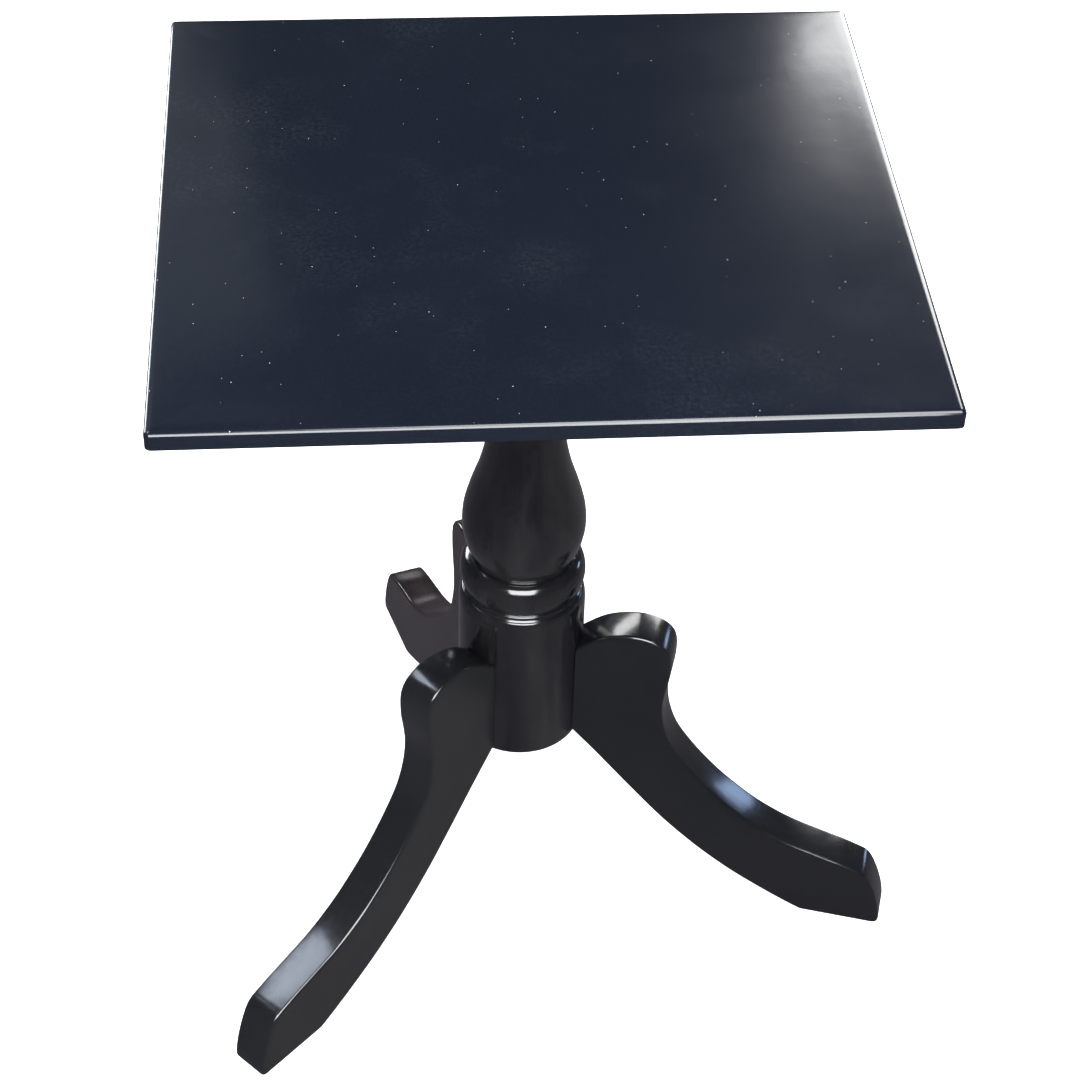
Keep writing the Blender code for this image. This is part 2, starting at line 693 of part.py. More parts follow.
def make_catch(axis, slide, materials):
    """Spring catch: case on the board, sliding bolt with a knob, and a spring."""
    plate_top = TOP_UNDER_Z - GAP
    outline = rounded_rectangle(0.0440, 0.0465, 0.003, 4)
    outline = [(x, y + 0.07425) for x, y in outline]
    plate = prism_shape(outline, "z", plate_top - 0.0010, plate_top)
    case = add_object("catch_case", plate, materials["brass"])
    low = (-0.0130, CATCH_FRONT_Y, TOP_UNDER_Z - 0.0095)
    high = (0.0130, CATCH_BACK_Y, plate_top - 0.0006)
    join(case, add_object("cutter_case_body", box_shape(low, high)))
    low = (-0.0093, CATCH_FRONT_Y + 0.0025, BOLT_BODY_Z[0] - GAP)
    high = (0.0093, CATCH_BACK_Y - 0.0025, BOLT_BODY_Z[1] + GAP)
    cut(case, add_object("cutter_case_cavity", box_shape(low, high)))
    low = (-0.0063, CATCH_FRONT_Y - 0.003, BOLT_TONGUE_Z[0] - GAP)
    high = (0.0063, CATCH_FRONT_Y + 0.004, BOLT_TONGUE_Z[1] + GAP)
    cut(case, add_object("cutter_case_mouth", box_shape(low, high)))
    low = (-0.0025, CATCH_KNOB_Y - 0.0025, TOP_UNDER_Z - 0.0105)
    high = (0.0025, CATCH_KNOB_Y + BOLT_TRAVEL + 0.0025, BOLT_BODY_Z[0])
    cut(case, add_object("cutter_case_slot", box_shape(low, high)))
    for number, (x, y) in enumerate(catch_screw_places()):
        start = (x, y, plate_top - 0.0025)
        hole("case_%d" % number, case, start, (0, 0, 1), 0.0015, 0.006)
        seat = (x, y, plate_top - 0.0010)
        name = "catch_screw_%d" % (number + 1)
        part = screw(name, seat, (0, 0, 1), 0.0029, 0.0016, 0.0012, 0.0080, materials["screw"])
        hang(part, axis)
    hang(case, axis)

    low = (-0.0090, CATCH_FRONT_Y + 0.0035, BOLT_BODY_Z[0])
    high = (0.0090, 0.0715, BOLT_BODY_Z[1])
    bolt = add_object("catch_bolt", box_shape(low, high), materials["bolt"])
    tongue = (
        (BOLT_TIP_Y, BOLT_TONGUE_Z[0] + 0.0008),
        (BOLT_TIP_Y + 0.0008, BOLT_TONGUE_Z[0]),
        (CATCH_FRONT_Y + 0.005, BOLT_TONGUE_Z[0]),
        (CATCH_FRONT_Y + 0.005, BOLT_TONGUE_Z[1]),
        (BOLT_TIP_Y + 0.0008, BOLT_TONGUE_Z[1]),
        (BOLT_TIP_Y, BOLT_TONGUE_Z[1] - 0.0008),
    )
    join(bolt, add_object("cutter_bolt_tongue", prism_shape(tongue, "x", -0.0060, 0.0060)))
    start = (0.0, CATCH_KNOB_Y, BOLT_BODY_Z[0])
    hole("bolt_tap", bolt, start, (0, 0, 1), 0.0016, 0.0030)
    bolt.location = (0.0, 0.0, 0.0)
    hang(bolt, slide)

    profile = (
        (0.0020, -0.0165),
        (0.0046, -0.0158),
        (0.0058, -0.0140),
        (0.0058, -0.0125),
        (0.0044, -0.0108),
        (0.0026, -0.0094),
        (0.0022, -0.0080),
        (0.0022, -0.0003),
        (0.0013, -0.0003),
        (0.0013, 0.0024),
    )
    knob = add_object("catch_knob", turned_shape(profile, 28), materials["bolt"], 40)
    knob.location = (0.0, CATCH_KNOB_Y, BOLT_BODY_Z[0])
    hang(knob, slide)

    spring = add_object("catch_spring", spring_shape(), materials["spring"], 60)
    spring.location = (0.0, 0.0715 + 0.0004, (BOLT_BODY_Z[0] + BOLT_BODY_Z[1]) / 2)
    hang(spring, axis)


def spring_shape():
    """Closed round wire wound in a helix along +Y."""
    turns = 6
    steps = 14
    sides = 6
    wire_r = 0.00026
    coil_r = 0.00165
    length = CATCH_BACK_Y - 0.0025 - 0.0715 - 0.0008 - 2 * wire_r
    shape = bmesh.new()
    rings = []
    total = turns * steps
    for step in range(total + 1):
        angle = 2.0 * math.pi * step / steps
        run = wire_r + length * step / total
        outward = Vector((math.cos(angle), 0.0, math.sin(angle)))
        centre = outward * coil_r + Vector((0.0, run, 0.0))
        ring = []
        for side in range(sides):
            turn = 2.0 * math.pi * side / sides
            offset = outward * math.cos(turn) + Vector((0.0, 1.0, 0.0)) * math.sin(turn)
            ring.append(shape.verts.new(centre + offset * wire_r))
        rings.append(ring)
    for near, far in zip(rings, rings[1:]):
        for side in range(sides):
            after = (side + 1) % sides
            shape.faces.new((near[side], near[after], far[after], far[side]))
    shape.faces.new(list(reversed(rings[0])))
    shape.faces.new(rings[-1])
    return shape


def main():
    """Build the table, base first."""
    clear_scene()
    materials = make_materials()
    make_pillar(materials)
    make_wedge(materials)
    for side in LEG_ANGLES:
        make_leg(side, materials)
    make_brace(materials)
    make_brace_screws(materials)
    make_block(materials)
    make_pins(materials)
    make_strike(materials)
    tilt_axis = add_axis("tilt_axis", (0.0, PIVOT_Y, PIVOT_Z))
    slide_axis = add_axis("catch_axis", (0.0, CATCH_KNOB_Y, BOLT_BODY_Z[0]))
    make_top(tilt_axis, materials)
    make_bearers(tilt_axis, materials)
    make_catch(tilt_axis, slide_axis, materials)
    hang(slide_axis, tilt_axis)


main()
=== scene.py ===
"""Black painted tilt-top table: a moulded top on a turned pillar with three sawn legs."""

import logging
import math
from dataclasses import dataclass
from enum import Enum
from functools import cache

import bmesh
import bpy
import numpy as np
from mathutils import Matrix, Vector


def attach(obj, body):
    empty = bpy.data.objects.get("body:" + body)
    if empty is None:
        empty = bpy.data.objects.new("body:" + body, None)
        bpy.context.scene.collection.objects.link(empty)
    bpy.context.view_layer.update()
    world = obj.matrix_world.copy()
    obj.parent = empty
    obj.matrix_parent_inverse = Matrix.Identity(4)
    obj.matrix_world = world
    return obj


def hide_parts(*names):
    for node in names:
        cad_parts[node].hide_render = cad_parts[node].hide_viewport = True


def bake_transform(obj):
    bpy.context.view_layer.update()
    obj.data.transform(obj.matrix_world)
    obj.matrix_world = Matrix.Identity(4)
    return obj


logging.basicConfig(level=logging.INFO, format="%(message)s")
log = logging.getLogger("tilt_top_table")

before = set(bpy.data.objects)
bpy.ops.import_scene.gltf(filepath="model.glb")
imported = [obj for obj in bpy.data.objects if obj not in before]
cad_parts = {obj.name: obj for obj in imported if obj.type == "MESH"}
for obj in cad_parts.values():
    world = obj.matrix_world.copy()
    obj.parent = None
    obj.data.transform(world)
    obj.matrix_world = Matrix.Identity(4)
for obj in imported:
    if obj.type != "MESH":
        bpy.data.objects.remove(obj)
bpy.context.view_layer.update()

Grid = np.ndarray
Pair = tuple[float, float]
Point = tuple[float, float, float]
Colour = tuple[float, float, float]
Shape = tuple[Grid, list]
Piece = bpy.types.Object
Paint = bpy.types.Material
Socket = bpy.types.NodeSocket


class Body(Enum):
    """Rigid bodies that the pieces ride on."""

    BASE = "base"
    TOP = "top"
    CATCH = "catch"


# ---- Surfaces ----


def grid_faces(rows: int, columns: int, close_rows: bool, close_columns: bool) -> Grid:
    """Quads that join a grid of points, row by row.

    Args:
        rows: Number of rows of points.
        columns: Number of points in a row.
        close_rows: Join the last row to the first.
        close_columns: Join each row's last point to its first.

    Returns:
        Array of four indices for each face.
    """
    row = np.arange(rows if close_rows else rows - 1)
    column = np.arange(columns if close_columns else columns - 1)
    r, c = np.meshgrid(row, column, indexing="ij")
    r_next = (r + 1) % rows
    c_next = (c + 1) % columns
    quads = np.stack(
        [r * columns + c, r * columns + c_next, r_next * columns + c_next, r_next * columns + c],
        axis=-1,
    )
    return quads.reshape(-1, 4)


def add_piece(name: str, points: Grid, faces: list, smooth_angle: float = 35.0) -> Piece:
    """Make a mesh object at the origin from points and faces.

    Args:
        name: Name of the piece.
        points: Positions in metres, one row for each.
        faces: Index lists, quads or larger.
        smooth_angle: Edges sharper than this many degrees stay sharp.

    Returns:
        The new object.
    """
    mesh = bpy.data.meshes.new(name)
    mesh.from_pydata(points.tolist(), [], [list(map(int, f)) for f in faces])
    mesh.validate()
    mesh.update()
    mesh.shade_smooth()
    mesh.set_sharp_from_angle(angle=math.radians(smooth_angle))
    piece = bpy.data.objects.new(name, mesh)
    bpy.context.scene.collection.objects.link(piece)
    return piece


def flowing_curve(knots: Grid, steps: int) -> Grid:
    """Catmull-Rom curve: each span is the cubic through its two middle knots.

    Args:
        knots: Points that the curve passes through.
        steps: Parts that each span is cut into.

    Returns:
        Points along the curve, both ends included.
    """
    first = 2 * knots[0] - knots[1]
    last = 2 * knots[-1] - knots[-2]
    chain = np.vstack([first, knots, last])
    t = (np.arange(steps) / steps)[None, :, None]
    p0, p1, p2, p3 = (chain[k : len(chain) - 3 + k][:, None, :] for k in range(4))
    cubic = (
        2 * p1
        + (p2 - p0) * t
        + (2 * p0 - 5 * p1 + 4 * p2 - p3) * t**2
        + (3 * p1 - p0 - 3 * p2 + p3) * t**3
    ) / 2
    return np.vstack([cubic.reshape(-1, knots.shape[1]), knots[-1:]])


def arc(centre: Pair, radii: Pair, start: float, end: float, steps: int) -> Grid:
    """Arc of an ellipse: centre plus the radii times cosine and sine of the angle.

    Args:
        centre: Centre of the ellipse.
        radii: Its two half axes.
        start: First angle in degrees.
        end: Last angle in degrees.
        steps: Number of parts.

    Returns:
        Points along the arc.
    """
    angle = np.radians(np.linspace(start, end, steps + 1))
    return np.array(centre) + np.array(radii) * np.stack([np.cos(angle), np.sin(angle)], axis=-1)


def capped_faces(rings: int, count: int) -> list:
    """Faces of a stack of closed rings of points, with a flat cap at each end.

    Args:
        rings: Number of rings.
        count: Number of points in a ring.

    Returns:
        Index lists, which face outwards if the rings run anticlockwise and go up.
    """
    sides = grid_faces(rings, count, False, True).tolist()
    first = list(range(count))[::-1]
    last = list(range((rings - 1) * count, rings * count))
    return [*sides, first, last]


def outline_normals(outline: Grid) -> Grid:
    """Outward unit normals of a closed outline that runs anticlockwise.

    Args:
        outline: Points of the outline.

    Returns:
        One normal for each point: the mean of its two sides' normals, lengthened at a
        corner so that an inset keeps its distance from both sides.
    """
    side = np.roll(outline, -1, axis=0) - outline
    side /= np.linalg.norm(side, axis=1, keepdims=True)
    normal = np.stack([side[:, 1], -side[:, 0]], axis=-1)
    mean = normal + np.roll(normal, 1, axis=0)
    mean /= np.linalg.norm(mean, axis=1, keepdims=True)
    stretch = np.clip((mean * normal).sum(axis=1, keepdims=True), 0.6, 1.0)
    return mean / stretch


def baked(piece: Piece, smooth_angle: float) -> Piece:
    """Give a piece the mesh that its modifiers make, and drop the modifiers.

    Args:
        piece: Object with live modifiers.
        smooth_angle: Edges sharper than this many degrees stay sharp.

    Returns:
        The same object.
    """
    graph = bpy.context.evaluated_depsgraph_get()
    mesh = bpy.data.meshes.new_from_object(piece.evaluated_get(graph))
    piece.modifiers.clear()
    piece.data = mesh
    mesh.shade_smooth()
    mesh.set_sharp_from_angle(angle=math.radians(smooth_angle))
    return piece


class Join(Enum):
    """Ways to combine a piece with another closed shape."""

    CUT = "DIFFERENCE"
    ADD = "UNION"


def combine(piece: Piece, shape: Shape, how: Join) -> None:
    """Cut a closed shape out of a piece or add it to the piece.

    Args:
        piece: Object to change.
        shape: Points and outward faces of the closed shape.
        how: Whether it is cut away or added.
    """
    tool = add_piece("tool", *shape)
    modifier = piece.modifiers.new("combine", "BOOLEAN")
    modifier.operation = how.value
    modifier.solver = "EXACT"
    modifier.object = tool
    baked(piece, 32)
    bpy.data.objects.remove(tool)


def prism(plan: Grid, low: float, high: float) -> Shape:
    """Upright prism over a plan that runs anticlockwise.

    Args:
        plan: X and Y of each corner.
        low: Lower height.
        high: Upper height.

    Returns:
        Points and outward faces.
    """
    count = len(plan)
    heights = np.repeat([low, high], count)[:, None]
    return np.hstack([np.vstack([plan, plan]), heights]), capped_faces(2, count)


def turned_about_z(points: Grid, degrees: float) -> Grid:
    """Points turned about the pillar's axis.

    Args:
        points: Positions.
        degrees: Turn, anticlockwise from above.

    Returns:
        Turned positions.
    """
    a = math.radians(degrees)
    turn = np.array([[math.cos(a), math.sin(a), 0], [-math.sin(a), math.cos(a), 0], [0, 0, 1]])
    return points @ turn


# ---- Finishes ----


RAMP_ENDS = ("From Min", "From Max", "To Min", "To Max")

# Colour of a wipe mark, and for each size of dust speck: cells in a metre, the speck's radius in
# cells, the share of cells with none, and its colour.
WIPE_MARK = (0.055, 0.060, 0.068)
DUST = (
    (46.0, 0.0165, 0.90, (0.46, 0.44, 0.42)),
    (95.0, 0.030, 0.93, (0.30, 0.24, 0.19)),
)

# Noise scales of the paint's brush strokes, worn patches, stipple, grain and sags.
STROKE, PATCH, STIPPLE, GRAIN, SAG = 260.0, 9.0, 1500.0, 850.0, 55.0


class Sheet:
    """Node sheet of a material or a world, with one short method for each kind of node."""

    def __init__(self, owner: Paint | bpy.types.World, output: str = "OutputMaterial") -> None:
        """Start a sheet with only its output.

        Args:
            owner: Material or world that it belongs to.
            output: Type of its output node.
        """
        owner.use_nodes = True
        self.owner = owner
        self.tree = owner.node_tree
        self.tree.nodes.clear()
        self.output = self.add(output)

    def add(self, kind: str, **settings: object) -> bpy.types.Node:
        """Add a node and set its properties.

        Args:
            kind: Node type without its "ShaderNode" prefix.
            settings: Properties of the node.

        Returns:
            The node.
        """
        node = self.tree.nodes.new("ShaderNode" + kind)
        for key, value in settings.items():
            setattr(node, key, value)
        return node

    def join(self, source: Socket, target: Socket) -> None:
        """Link two sockets."""
        self.tree.links.new(source, target)

    def place(self, stretch: Point, tilt: float = 0.0, turn: float = 0.0) -> Socket:
        """Object coordinates along a piece's own grain, drawn out by a stretch.

        Args:
            stretch: How many times longer the pattern is along each axis of the grain.
            tilt: Dip of the grain below level, in degrees.
            turn: Turn of the grain about Z, in degrees.

        Returns:
            The vector.
        """
        coordinates = self.add("TexCoord")
        mapping = self.add("Mapping", vector_type="TEXTURE")
        mapping.inputs["Rotation"].default_value = (0.0, math.radians(tilt), math.radians(turn))
        mapping.inputs["Scale"].default_value = stretch
        self.join(coordinates.outputs["Object"], mapping.inputs["Vector"])
        return mapping.outputs["Vector"]

    def noise(self, vector: Socket, scale: float, detail: float, rough: float = 0.5) -> Socket:
        """Noise between 0 and 1.

        Args:
            vector: Where to read it.
            scale: Its scale.
            detail: Number of octaves.
            rough: Weight of the finer octaves.

        Returns:
            The value.
        """
        node = self.add("TexNoise")
        node.inputs["Scale"].default_value = scale
        node.inputs["Detail"].default_value = detail
        node.inputs["Roughness"].default_value = rough
        self.join(vector, node.inputs["Vector"])
        return node.outputs["Fac"]

    def ramp(
        self, value: Socket, low: float, high: float, first: float = 0.0, last: float = 1.0
    ) -> Socket:
        """Straight ramp from one range to another, held at its ends.

        Args:
            value: The value.
            low: Where the ramp starts.
            high: Where it ends.
            first: Result at the start.
            last: Result at the end.

        Returns:
            The result.
        """
        node = self.add("MapRange", clamp=True)
        for key, number in zip(RAMP_ENDS, (low, high, first, last)):
            node.inputs[key].default_value = number
        self.join(value, node.inputs["Value"])
        return node.outputs["Result"]

    def calculate(self, operation: str, a: Socket, b: Socket | float) -> Socket:
        """One step of arithmetic.

        Args:
            operation: Name of the operation, in capitals.
            a: First value.
            b: Second value, a socket or a number.

        Returns:
            The result.
        """
        node = self.add("Math", operation=operation)
        self.join(a, node.inputs[0])
        if isinstance(b, Socket):
            self.join(b, node.inputs[1])
        else:
            node.inputs[1].default_value = b
        return node.outputs["Value"]

    def blend(self, factor: Socket, a: Socket | Colour, b: Socket | Colour) -> Socket:
        """Colour that goes from one to another.

        Args:
            factor: Share of the second.
            a: First colour.
            b: Second colour.

        Returns:
            The colour.
        """
        node = self.add("Mix", data_type="RGBA")
        self.join(factor, node.inputs["Factor"])
        for key, colour in ((6, a), (7, b)):
            if isinstance(colour, Socket):
                self.join(colour, node.inputs[key])
            else:
                node.inputs[key].default_value = (*colour, 1.0)
        return node.outputs[2]

    def bump(self, height: Socket, distance: float, over: Socket | None = None) -> Socket:
        """Surface normal from a height.

        Args:
            height: Height between 0 and 1.
            distance: Height in metres of the value 1.
            over: Another bump's normal to add to.

        Returns:
            The normal.
        """
        node = self.add("Bump")
        node.inputs["Distance"].default_value = distance
        node.inputs["Strength"].default_value = 1.0
        self.join(height, node.inputs["Height"])
        if over is not None:
            self.join(over, node.inputs["Normal"])
        return node.outputs["Normal"]

    def shader(self, **values: float) -> bpy.types.Node:
        """The Principled shader, joined to the output.

        Args:
            values: Uniform values, with underscores for spaces in the sockets' names.

        Returns:
            The shader's node.
        """
        node = self.add("BsdfPrincipled")
        for key, value in values.items():
            node.inputs[key.replace("_", " ")].default_value = value
        self.join(node.outputs["BSDF"], self.output.inputs["Surface"])
        return node


@dataclass(frozen=True)
class BlackPaint:
    """Brushed black paint on wood, with a little of the brush and the dust left in it."""

    name: str
    colour: Colour
    rubbed: Colour
    roughness: float
    stroke: Point = (1.0, 1.0, 1.0)
    tilt: float = 0.0
    turn: float = 0.0
    stroke_height: float = 0.00006
    stipple_height: float = 0.00002
    sag_height: float = 0.0003
    grain: float = 0.30
    wear: float = 0.04
    streak: float = 0.0
    smudge: float = 0.0
    dust: float = 0.0
    coat: float = 0.0

    @cache
    def material(self) -> Paint:
        """Make the paint.

        Returns:
            Its material.
        """
        s = Sheet(bpy.data.materials.new(self.name))
        paint = s.shader(Coat_Weight=self.coat, Coat_Roughness=0.12)
        flat = s.place((1.0, 1.0, 1.0))
        along = s.place(self.stroke, self.tilt, self.turn)
        strokes = s.noise(along, STROKE, 5.0, 0.6)
        broad = s.noise(flat, PATCH, 3.0, 0.5)
        fine = s.noise(flat, STIPPLE, 2.0, 0.5)
        patch = s.ramp(broad, 0.35, 0.70)
        if self.streak:
            patch = s.ramp(s.noise(along, 34.0, 4.0, 0.55), 0.40, 0.66)
        colour = s.blend(patch, self.colour, self.rubbed)
        grain = s.ramp(s.noise(flat, GRAIN, 2.0, 0.7), 0.40, 0.72, 0.0, self.grain)
        colour = s.blend(grain, colour, tuple(3.2 * c for c in self.rubbed))
        if self.streak:
            thin = s.ramp(s.noise(along, 60.0, 4.0, 0.6), 0.50, 0.72, 0.0, self.streak)
            colour = s.blend(thin, colour, tuple(2.0 * c for c in self.rubbed))
        rough = s.ramp(broad, 0.25, 0.75, self.roughness * 0.88, self.roughness * 1.14)
        worn = s.ramp(strokes, 0.30, 0.75, -self.wear, self.wear)
        rough = s.calculate("ADD", rough, worn)
        if self.smudge:
            colour = self.smudged(s, flat, colour)
        if self.dust:
            rough, colour = self.dusted(s, flat, rough, colour)
        s.join(colour, paint.inputs["Base Color"])
        s.join(rough, paint.inputs["Roughness"])
        normal = s.bump(s.noise(flat, SAG, 2.0, 0.4), self.sag_height)
        normal = s.bump(strokes, self.stroke_height, normal)
        normal = s.bump(fine, self.stipple_height, normal)
        s.join(normal, paint.inputs["Normal"])
        return s.owner

    def smudged(self, s: Sheet, flat: Socket, colour: Socket) -> Socket:
        """Add cloudy wipe marks, greyer than the paint.

        Args:
            s: The material's sheet.
            flat: Plain coordinates.
            colour: Colour so far.

        Returns:
            The colour.
        """
        cloud = s.ramp(s.noise(flat, 11.0, 5.0, 0.62), 0.50, 0.78)
        grain = s.ramp(s.noise(flat, 380.0, 3.0, 0.7), 0.42, 0.80)
        mark = s.calculate("MULTIPLY", s.calculate("MULTIPLY", cloud, grain), self.smudge)
        return s.blend(mark, colour, WIPE_MARK)

    def dusted(self, s: Sheet, flat: Socket, rough: Socket, colour: Socket) -> tuple:
        """Add scattered pale specks of dust, each in a cell of its own.

        Args:
            s: The material's sheet.
            flat: Plain coordinates.
            rough: Roughness so far.
            colour: Colour so far.

        Returns:
            Roughness and colour.
        """
        for scale, size, share, tint in DUST:
            cells = s.add("TexVoronoi", feature="F1", voronoi_dimensions="2D")
            cells.inputs["Scale"].default_value = scale
            s.join(flat, cells.inputs["Vector"])
            parts = s.add("SeparateColor")
            s.join(cells.outputs["Color"], parts.inputs["Color"])
            chosen = s.ramp(parts.outputs["Red"], share, share + 0.01)
            near = s.ramp(cells.outputs["Distance"], size * 0.55, size, 1.0, 0.0)
            speck = s.calculate("MULTIPLY", s.calculate("MULTIPLY", near, chosen), self.dust)
            colour = s.blend(speck, colour, tint)
            rough = s.calculate("ADD", rough, s.calculate("MULTIPLY", speck, 0.4))
        return rough, colour


@dataclass(frozen=True)
class Metal:
    """Turned, rolled or cast metal, with fine scratches and a little tarnish."""

    name: str
    colour: Colour
    tarnish: Colour
    roughness: float
    metallic: float = 1.0
    scratch: Point = (1.0, 1.0, 1.0)

    @cache
    def material(self) -> Paint:
        """Make the metal.

        Returns:
            Its material.
        """
        s = Sheet(bpy.data.materials.new(self.name))
        metal = s.shader(Metallic=self.metallic)
        flat = s.place((1.0, 1.0, 1.0))
        spots = s.ramp(s.noise(flat, 160.0, 4.0, 0.65), 0.48, 0.72)
        scratches = s.noise(s.place(self.scratch), 900.0, 3.0, 0.6)
        s.join(s.blend(spots, self.colour, self.tarnish), metal.inputs["Base Color"])
        rough = s.ramp(scratches, 0.3, 0.7, self.roughness * 0.8, self.roughness * 1.25)
        rough = s.calculate("ADD", rough, s.calculate("MULTIPLY", spots, 0.14))
        s.join(rough, metal.inputs["Roughness"])
        s.join(s.bump(scratches, 0.00003), metal.inputs["Normal"])
        return s.owner


@dataclass(frozen=True)
class BareWood:
    """Pale unpainted wood, with grain along X."""

    name: str
    light: Colour
    dark: Colour

    @cache
    def material(self) -> Paint:
        """Make the wood.

        Returns:
            Its material.
        """
        s = Sheet(bpy.data.materials.new(self.name))
        wood = s.shader(Specular_IOR_Level=0.35)
        fibre = s.noise(s.place((14.0, 1.0, 1.0)), 700.0, 4.0, 0.6)
        s.join(s.blend(s.ramp(fibre, 0.35, 0.7), self.light, self.dark), wood.inputs["Base Color"])
        s.join(s.ramp(fibre, 0.3, 0.7, 0.55, 0.70), wood.inputs["Roughness"])
        s.join(s.bump(fibre, 0.00012), wood.inputs["Normal"])
        return s.owner


def dressed(piece: Piece, finish: BlackPaint | Metal, node: str, body: Body | None) -> None:
    """Finish a piece: its material and slot, the node it stands for and the body it rides on.

    Args:
        piece: The piece.
        finish: Its finish, named for the record's material slot.
        node: CAD node that it replaces.
        body: Body that it moves with, or None to leave it on no body.
    """
    piece.data.materials.clear()
    piece.data.materials.append(finish.material())
    if body is not None:
        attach(piece, body.value)
    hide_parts(node)
    log.info("made %s, %d faces", piece.name, len(piece.data.polygons))


def from_node(node: str, name: str, bevel: float, smooth_angle: float = 32.0) -> Piece:
    """Copy a CAD node's mesh, merge it, and ease its edges.

    Args:
        node: Name of the CAD node.
        name: Name of the new piece.
        bevel: Width of the eased edges in metres, or 0 for none.
        smooth_angle: Edges sharper than this many degrees stay sharp.

    Returns:
        The new piece.
    """
    shape = bmesh.new()
    shape.from_mesh(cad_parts[node].data)
    bmesh.ops.remove_doubles(shape, verts=shape.verts[:], dist=0.000004)
    bmesh.ops.dissolve_limit(
        shape, angle_limit=math.radians(0.6), verts=shape.verts[:], edges=shape.edges[:]
    )
    mesh = bpy.data.meshes.new(name)
    shape.to_mesh(mesh)
    shape.free()
    piece = bpy.data.objects.new(name, mesh)
    bpy.context.scene.collection.objects.link(piece)
    if bevel:
        ease = piece.modifiers.new("eased edges", "BEVEL")
        ease.width = bevel
        ease.segments = 2
        ease.limit_method = "ANGLE"
        ease.angle_limit = math.radians(38)
        ease.use_clamp_overlap = True
    return baked(piece, smooth_angle)


# ---- Shapes that several pieces share ----


def eased(line: Grid, radius: float, closed: bool, least_turn: float = 14.0) -> Grid:
    """Round a line's corners, each by a quadratic curve between points set back along its sides.

    Args:
        line: Points of the line.
        radius: Set-back from a corner, at most two fifths of either side.
        closed: Whether the last point joins the first.
        least_turn: Corners that turn less than this many degrees stay.

    Returns:
        Points of the rounded line.
    """
    back = np.roll(line, 1, axis=0) - line
    ahead = np.roll(line, -1, axis=0) - line
    long_back = np.linalg.norm(back, axis=1, keepdims=True)
    long_ahead = np.linalg.norm(ahead, axis=1, keepdims=True)
    start = line + back / long_back * np.minimum(radius, 0.4 * long_back)
    end = line + ahead / long_ahead * np.minimum(radius, 0.4 * long_ahead)
    t = np.linspace(0, 1, 6)[None, :, None]
    curve = start[:, None] * (1 - t) ** 2 + line[:, None] * 2 * t * (1 - t) + end[:, None] * t**2
    cosine = -(back * ahead).sum(axis=1) / (long_back * long_ahead)[:, 0]
    corner = cosine < math.cos(math.radians(least_turn))
    if not closed:
        corner[[0, -1]] = False
    keep = np.tile(corner[:, None], (1, 6))
    keep[~corner, 0] = True
    curve[~corner, 0] = line[~corner]
    return curve[keep]


def spread(line: Grid, gap: float) -> Grid:
    """Put points at most a gap apart along the straight sides of a closed line.

    Args:
        line: Points of the line, anticlockwise.
        gap: Longest side that is left whole.

    Returns:
        The line with the added points.
    """
    following = np.roll(line, -1, axis=0)
    length = np.linalg.norm(following - line, axis=1)
    parts = np.maximum(1, np.ceil(length / gap)).astype(int)
    first = np.repeat(np.arange(len(line)), parts)
    order = np.arange(parts.sum()) - np.repeat(np.cumsum(parts) - parts, parts)
    t = (order / np.repeat(parts, parts))[:, None]
    return line[first] * (1 - t) + following[first] * t


def edge_section(half: float, radius: float, steps: int) -> Grid:
    """Section of a board's edge: a quarter circle at each face and a short flat inside it.

    Args:
        half: Half of the board's thickness.
        radius: Radius of the quarter circles.
        steps: Parts of each quarter circle.

    Returns:
        Place across the thickness and inset from the outline, one row for each.
    """
    a = np.radians(np.linspace(90, 0, steps + 1))
    across = half - radius + radius * np.sin(a)
    inset = radius * (1 - np.cos(a))
    rows = np.stack([np.r_[half, across], np.r_[radius + 0.0004, inset]], axis=-1)
    return np.vstack([rows * [-1, 1], rows[::-1]])


def board(outline: Grid, section: Grid) -> Shape:
    """Sawn board: the outline repeated across the thickness, moved in by the section's inset.

    Args:
        outline: Closed anticlockwise outline in the board's plane.
        section: Place across and inset of each repeat.

    Returns:
        Points as along, across, up, with one row for each repeat, and outward faces.
    """
    normal = outline_normals(outline)
    line = outline[None] - normal[None] * section[:, 1][:, None, None]
    across = np.broadcast_to(section[:, 0][:, None], line.shape[:2])
    points = np.stack([line[..., 0], across, line[..., 1]], axis=-1).reshape(-1, 3)
    return points, [face[::-1] for face in capped_faces(len(section), len(outline))]


def side_board(outline: Grid, section: Grid, middle: float = 0.0) -> Shape:
    """Board with its outline in Y and Z and its thickness along X.

    Args:
        outline: Closed anticlockwise outline.
        section: Place across and inset of each repeat.
        middle: X of the middle of its thickness.

    Returns:
        Points and outward faces.
    """
    points, faces = board(outline, section)
    return points[:, [1, 0, 2]] + [middle, 0, 0], [face[::-1] for face in faces]


def rounded_plan(width: float, depth: float, radius: float, steps: int) -> Grid:
    """Rectangle with quarter circles at its corners, anticlockwise.

    Args:
        width: Size along X.
        depth: Size along Y.
        radius: Radius of the corners.
        steps: Parts of each quarter circle.

    Returns:
        X and Y of each point.
    """
    signs = np.array([[1, 1], [-1, 1], [-1, -1], [1, -1]])
    centre = signs * [width / 2 - radius, depth / 2 - radius]
    a = np.radians(np.arange(4)[:, None] * 90 + np.linspace(0, 90, steps + 1)[None])
    ring = np.stack([np.cos(a), np.sin(a)], axis=-1) * radius
    return (centre[:, None] + ring).reshape(-1, 2)


